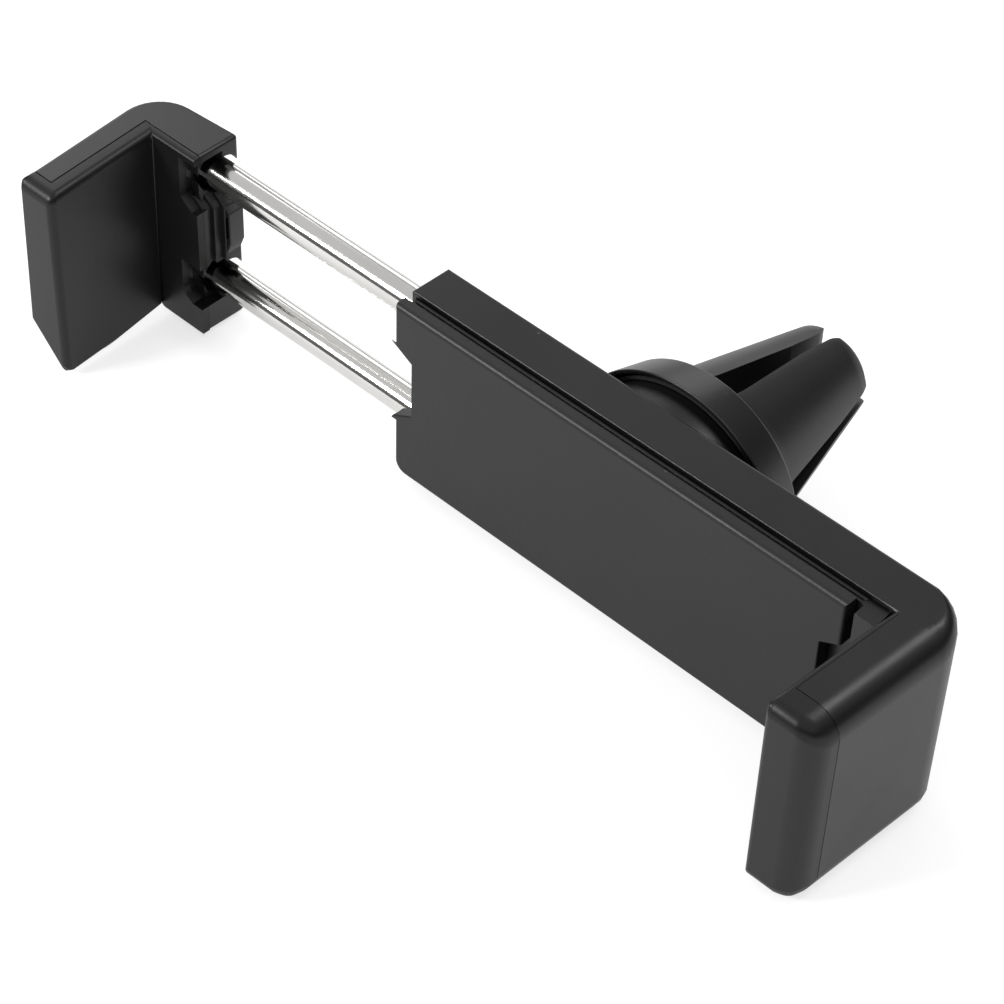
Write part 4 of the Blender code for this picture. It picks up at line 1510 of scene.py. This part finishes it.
    def insert(self) -> bpy.types.Object:
        """Models the insert between the rods: stepped ribs with slanted heads and a tongue.

        Returns:
            The insert.
        """
        ribs = []
        bottom, shoulder, top = self.rib_levels
        for step in range(self.ribs):
            start_y = self.front_y + self.rib_start[1] + self.rib_rise * step
            end_x = self.front_end_x + self.rib_start[0] + self.rib_run * step
            side = (
                (end_x, bottom),
                (end_x, shoulder),
                (end_x - self.rib_slant_run, top),
                (self.rib_back_x, top),
                (self.rib_back_x, bottom),
            )
            back_y = self.insert_back_y - self.rib_recess * step
            rib = extrude_side(f"rib_{step}", side, start_y, back_y)
            soften(rib, self.insert_edge * MM, 3)
            ribs.append(rib)
        tongue = extrude_side("tongue", self.tongue, *self.tongue_y)
        soften(tongue, self.insert_edge * MM, 3)
        carve(tongue, extrude_side("tongue_hole", self.tongue_hole, *self.tongue_hole_y))
        insert = join([*ribs, tongue])
        insert.name = "rib_insert"
        shade(insert)
        return insert

    def build(self, finishes: Finishes) -> None:
        """Builds and dresses the moving jaw's mouldings.

        Args:
            finishes: The holder's finishes.
        """
        shell = self.shell()
        hand_over(shell, "moving_jaw_shell", Body.MOVING_JAW, finishes.shell)
        insert = self.insert()
        hand_over(insert, "moving_jaw_insert", Body.MOVING_JAW, finishes.shell)
        liner = self.liner()
        hand_over(liner, "moving_jaw_liner", Body.MOVING_JAW, finishes.liner)


@dataclass
class GuideRods:
    """The two polished rods and their cross pins, each modelled once and copied."""

    chamfer: float = 0.3 * MM
    sides: int = 72
    pin_clearance: float = 0.05 * MM
    end_inset: float = 0.5 * MM
    layout: RodLayout = RodLayout()
    pin_y: Pair = (2.25, 5.75)

    def build(self, finishes: Finishes) -> None:
        """Builds and dresses the rods.

        Args:
            finishes: The holder's finishes.
        """
        low, high = (Vector(corner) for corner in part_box("upper_rod"))
        low.x = at(self.layout.start_x, 0.0, 0.0).x
        radius = (high.z - low.z) / 2
        centre = Vector((low.x, (low.y + high.y) / 2, (low.z + high.z) / 2))
        length = high.x - low.x
        rod = add_turned_block("upper_guide_rod", centre, Axis.X, length, radius, self.sides)

        def round_an_end(first: Vector, second: Vector) -> bool:
            """Says whether an edge goes round one of the rod's ends."""
            ends = (low.x, high.x)
            return any(max(abs(first.x - end), abs(second.x - end)) < 0.01 * MM for end in ends)

        open_mesh(rod, "EDGE")
        pick_edges(rod, round_an_end)
        bpy.ops.mesh.bevel(offset=self.chamfer, segments=4, affect="EDGES")
        bpy.ops.mesh.select_mode(type="FACE")
        pick_faces(rod, lambda place, normal: abs(normal.x) > 0.99)
        bpy.ops.mesh.inset(thickness=self.end_inset)
        close_mesh()
        close_seams(rod)
        pin_low, pin_high = (Vector(corner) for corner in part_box("upper_rod_pin"))
        pin_radius = (pin_high.x - pin_low.x) / 2
        pin_start = at(self.layout.pin_x, self.pin_y[0], 0.0)
        pin_start.z = centre.z
        pin_length = (self.pin_y[1] - self.pin_y[0]) * MM
        hole_radius = pin_radius + self.pin_clearance
        carve(rod, add_turned_block("pin_hole", pin_start, Axis.Y, pin_length, hole_radius, 24))
        shade(rod, 30.0)
        pin = add_turned_block("upper_cross_pin", pin_start, Axis.Y, pin_length, pin_radius, 24)
        soften(pin, 0.1 * MM, 3)
        shade(pin)
        drop = Vector((0.0, 0.0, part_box("lower_rod")[0][2] - low.z))
        twin = copy_piece(rod, "lower_guide_rod", drop)
        pin_twin = copy_piece(pin, "lower_cross_pin", drop)
        hand_over(pin, "upper_rod_pin", Body.MOVING_JAW, finishes.fastener)
        hand_over(pin_twin, "lower_rod_pin", Body.MOVING_JAW, finishes.fastener)
        hand_over(rod, "upper_rod", Body.MOVING_JAW, finishes.rod)
        hand_over(twin, "lower_rod", Body.MOVING_JAW, finishes.rod)


@dataclass
class VentClip:
    """The swivelling clip: the collar on the dome and the four prongs."""

    steps: int = 128
    centre: Triple = (25.05, 6.6, 10.75)
    bore: float = 10.74
    lip: Pair = (10.8, 2.05)
    front_radius: float = 11.12
    rear: Pair = (10.16, 6.0)
    front_edge: tuple[Pair, ...] = ((-0.06, 0.0), (0.0, 0.07), (-0.01, 0.2))
    rear_edge: tuple[Pair, ...] = ((0.06, -0.3), (-0.03, -0.12), (-0.22, 0.0))
    floor: float = 5.3
    bore_start: float = 2.5
    bore_steps: int = 8
    hole: float = 2.3
    cone: tuple[Pair, ...] = (
        (0.0, 6.6),
        (8.42, 6.6),
        (7.75, 8.5),
        (4.7, 21.5),
        (4.45, 22.5),
        (3.75, 23.2),
        (2.9, 23.5),
        (0.0, 23.5),
    )
    base: tuple[Pair, ...] = (
        (1.06, 5.38),
        (2.2, 5.38),
        (2.2, 6.1),
        (8.5, 6.1),
        (8.6, 6.18),
        (8.58, 6.3),
        (8.2, 7.2),
        (1.06, 7.2),
    )
    slot_floor: float = 7.0
    slot_neck: float = 17.5
    slot_halves: Triple = (1.5, 0.62, 0.5)
    slot_reach: float = 3.0
    clip_bore: float = 1.6
    bore_sink: float = 1.0
    bore_length: float = 20.0
    edge: float = 0.14
    edge_angle: float = 35.0
    merge_angle: float = 0.6
    shade_angle: float = 40.0
    quarter_size: float = 14.0
    tip_rise: float = 23.48
    tip_round: float = 2.2

    def collar(self) -> bpy.types.Object:
        """Models the collar: a cup with a thin lip round the dome.

        Returns:
            The collar.
        """
        inside = []
        for step in range(self.bore_steps + 1):
            rise = self.floor - (self.floor - self.bore_start) * step / self.bore_steps
            inside.append((math.sqrt(self.bore**2 - rise**2), rise))
        profile = [
            self.lip,
            *((self.front_radius + out, self.lip[1] + up) for out, up in self.front_edge),
            *((self.rear[0] + out, self.rear[1] + up) for out, up in self.rear_edge),
            (self.hole, self.rear[1]),
            (self.hole, self.floor),
            *inside,
        ]
        collar = turn_profile("swivel_collar", profile, at(*self.centre), Axis.Y, self.steps)
        shade(collar, self.shade_angle)
        return collar

    def prong(self) -> bpy.types.Object:
        """Models one prong: a quarter of the cone between two slots, rounded at its edges and tip.

        Returns:
            The prong.
        """
        prong = turn_profile("prong", self.cone, at(*self.centre), Axis.Y, self.steps)
        wide, neck, narrow = self.slot_halves
        x, y, z = self.centre
        stages = (
            (self.slot_floor, self.slot_neck, wide, neck),
            (self.slot_neck, self.tip_rise, neck, narrow),
        )
        keepers = []
        for index, (start, end, first, last) in enumerate(stages):
            low = at(x + first, y + start, z + first)
            high = at(x + self.quarter_size, y + end, z + self.quarter_size)
            keeper = add_block(f"keeper_{index}", low, high)
            open_mesh(keeper, "VERT")
            for side, middle in ((Axis.X, x), (Axis.Z, z)):
                along = Vector(side.value)

                def near_slot(place: Vector) -> bool:
                    """Says whether a corner is beside the slot where the stage ends."""
                    beside = abs(place.dot(along) - middle) < self.slot_reach
                    return beside and place.y > y + end - CLOSE

                shift_corners(keeper, near_slot, along * (last - first) * MM)
            close_mesh()
            keepers.append(keeper)

        def width_of(middle: Vector, run: Vector) -> float:
            """Gives the prong's rounding at an edge."""
            beside_slot = min(abs(middle.x - x), abs(middle.z - z)) < self.slot_halves[0]
            at_tip = middle.y > y + self.tip_rise - CLOSE
            return self.tip_round if at_tip and beside_slot else 0.0

        round_edges(keepers[1], width_of, 10)
        carve(keepers[0], keepers[1], "UNION")
        carve(prong, keepers[0], "INTERSECT")
        start = at(x, y + self.slot_floor - self.bore_sink, z)
        length = self.bore_length * MM
        bore = add_turned_block("clip_bore", start, Axis.Y, length, self.clip_bore * MM, 48)
        carve(prong, bore)
        open_mesh(prong, "VERT")
        bpy.ops.mesh.select_all(action="SELECT")
        bpy.ops.mesh.dissolve_limited(angle_limit=math.radians(self.merge_angle))
        close_mesh()
        soften(prong, self.edge * MM, 3, self.edge_angle)
        shade(prong, self.shade_angle)
        return prong

    def prongs(self) -> bpy.types.Object:
        """Models the four prongs on their base disc.

        Returns:
            The clip.
        """
        centre = at(*self.centre)
        base = turn_profile("four_prongs", self.base, centre, Axis.Y, self.steps)
        shade(base, self.shade_angle)
        first = self.prong()
        others = [turn_copy(first, f"prong_{turn}", centre, turn) for turn in (1, 2, 3)]
        return join([base, first, *others])

    def build(self, finishes: Finishes) -> None:
        """Builds and dresses the collar and the prongs.

        Args:
            finishes: The holder's finishes.
        """
        hand_over(self.collar(), "clip_collar", Body.CLIP_SOCKET, finishes.shell)
        hand_over(self.prongs(), "prong_clip", Body.VENT_CLIP, finishes.clip)


@dataclass
class HiddenParts:
    """The small parts inside, which keep their solids and get their own finishes."""

    fasteners: tuple[str, ...] = (
        "left_cover_screw",
        "right_cover_screw",
        "upper_rod_stop",
        "lower_rod_stop",
        "swivel_screw",
        "spring_washer",
    )
    bushes: tuple[str, ...] = ("upper_guide_bush", "lower_guide_bush")
    rings: tuple[str, ...] = ("upper_drag_ring", "lower_drag_ring", "seat_liner")
    mouldings: tuple[str, ...] = ("swivel_retainer",)

    def build(self, finishes: Finishes) -> None:
        """Dresses the small parts.

        Args:
            finishes: The holder's finishes.
        """
        looks = (
            (self.fasteners, finishes.fastener),
            (self.bushes, finishes.bush),
            (self.rings, finishes.ring),
            (self.mouldings, finishes.shell),
        )
        for names, material in looks:
            for name in names:
                dress(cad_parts[name], material)
                log.info("%s: keeps its solid, finish %s", name, material.name)


# Studio


@dataclass(frozen=True)
class Softbox:
    """A square area lamp: its place, its size in metres and its power in watts."""

    name: str
    place: Triple
    size: float
    power: float


@dataclass
class Studio:
    """The pale floor, the soft lights and the camera at the photograph's angle."""

    camera_place: Triple = (0.12548687, -0.14511697, 0.19119415)
    camera_turn: Triple = (44.7834334, -1.55439393, 43.5607585)
    focal_length: float = 107.90825
    sensor_width: float = 36.0
    near_clip: float = 0.01
    floor_size: float = 6.0
    floor_tone: tuple[float, float, float, float] = (0.55, 0.55, 0.55, 1.0)
    floor_glow: Pair = (0.7, 0.45)
    room_heights: Pair = (0.3, 0.75)
    room_strengths: Pair = (0.1, 0.62)
    lamps: tuple[Softbox, ...] = (
        Softbox("back_softbox", (0.2, 0.45, 0.72), 0.26, 1.1),
        Softbox("horizon_softbox", (-0.34, 0.62, 0.26), 0.3, 0.45),
        Softbox("left_softbox", (-0.75, 0.3, 0.42), 0.5, 1.7),
        Softbox("front_softbox", (-0.36, -0.56, 0.42), 0.2, 3.2),
    )
    target: Triple = (0.0, 0.0, 0.01)

    def add_camera(self) -> None:
        """Adds the camera that the render uses."""
        data = bpy.data.cameras.new("photo_view")
        data.lens = self.focal_length
        data.sensor_width = self.sensor_width
        data.clip_start = self.near_clip
        camera = bpy.data.objects.new("photo_view", data)
        camera.location = self.camera_place
        camera.rotation_euler = [math.radians(part) for part in self.camera_turn]
        bpy.context.scene.collection.objects.link(camera)
        bpy.context.scene.camera = camera

    def add_lamps(self) -> None:
        """Adds the soft area lamps, each aimed at the holder."""
        for softbox in self.lamps:
            data = bpy.data.lights.new(softbox.name, "AREA")
            data.shape = "SQUARE"
            data.size = softbox.size
            data.energy = softbox.power
            lamp = bpy.data.objects.new(softbox.name, data)
            lamp.location = Vector(softbox.place)
            aim = Vector(self.target) - lamp.location
            lamp.rotation_euler = aim.to_track_quat("-Z", "Y").to_euler()
            bpy.context.scene.collection.objects.link(lamp)

    def add_floor(self) -> None:
        """Adds the pale floor, which keeps the shadow and fades to white for the camera."""
        deselect_all()
        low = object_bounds()[0]
        bpy.ops.mesh.primitive_plane_add(size=self.floor_size, location=(0.0, 0.0, low[2]))
        floor = bpy.context.active_object
        floor.name = "studio_floor"
        material = new_material("pale_floor")
        tree = material.node_tree
        looks = {"Base Color": self.floor_tone, "Roughness": 0.9, "Specular IOR Level": 0.0}
        finish_shader(tree, looks)
        seen = add_node(tree, "ShaderNodeLightPath").outputs
        plain = math_node(tree, "MULTIPLY", seen["Is Camera Ray"], self.floor_glow[0])
        mirrored = math_node(tree, "MULTIPLY", seen["Is Glossy Ray"], self.floor_glow[1])
        strength = math_node(tree, "ADD", plain, mirrored)
        glow = add_node(tree, "ShaderNodeEmission", {"Strength": strength})
        total = add_node(tree, "ShaderNodeAddShader")
        shader = tree.nodes["Principled BSDF"]
        tree.links.new(shader.outputs["BSDF"], total.inputs[0])
        tree.links.new(glow.outputs["Emission"], total.inputs[1])
        tree.links.new(total.outputs["Shader"], tree.nodes["Material Output"].inputs["Surface"])
        dress(floor, material)
        settle(floor)
        floor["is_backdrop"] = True

    def add_world(self) -> None:
        """Adds the soft room light, white where the camera sees it."""
        world = bpy.data.worlds.new("studio_room")
        world.use_nodes = True
        bpy.context.scene.world = world
        tree = world.node_tree
        seen = add_node(tree, "ShaderNodeLightPath").outputs["Is Camera Ray"]
        sky = add_node(tree, "ShaderNodeTexCoord").outputs["Generated"]
        split = add_node(tree, "ShaderNodeSeparateXYZ", {"Vector": sky})
        height = split.outputs["Z"]
        room = map_range(tree, height, self.room_heights, self.room_strengths, "SMOOTHSTEP")
        back = tree.nodes["Background"].inputs
        feed(tree, back["Color"], (1.0, 1.0, 1.0, 1.0))
        feed(tree, back["Strength"], math_node(tree, "MAXIMUM", room, seen))

    def build(self) -> None:
        """Builds the studio and sets plain colour handling."""
        bpy.context.scene.view_settings.view_transform = "Standard"
        self.add_world()
        self.add_floor()
        self.add_lamps()
        self.add_camera()
        log.info("studio: floor, %d lamps and camera", len(self.lamps))


def main() -> None:
    """Builds the holder's looks in order."""
    logging.basicConfig(level=logging.INFO, format="%(name)s: %(message)s")
    finishes = Finishes(build_effects())
    BodyShell().build(finishes)
    FrontPlate().build(finishes)
    MovingJaw().build(finishes)
    GuideRods().build(finishes)
    VentClip().build(finishes)
    HiddenParts().build(finishes)
    Studio().build()


if __name__ == "__main__":
    main()
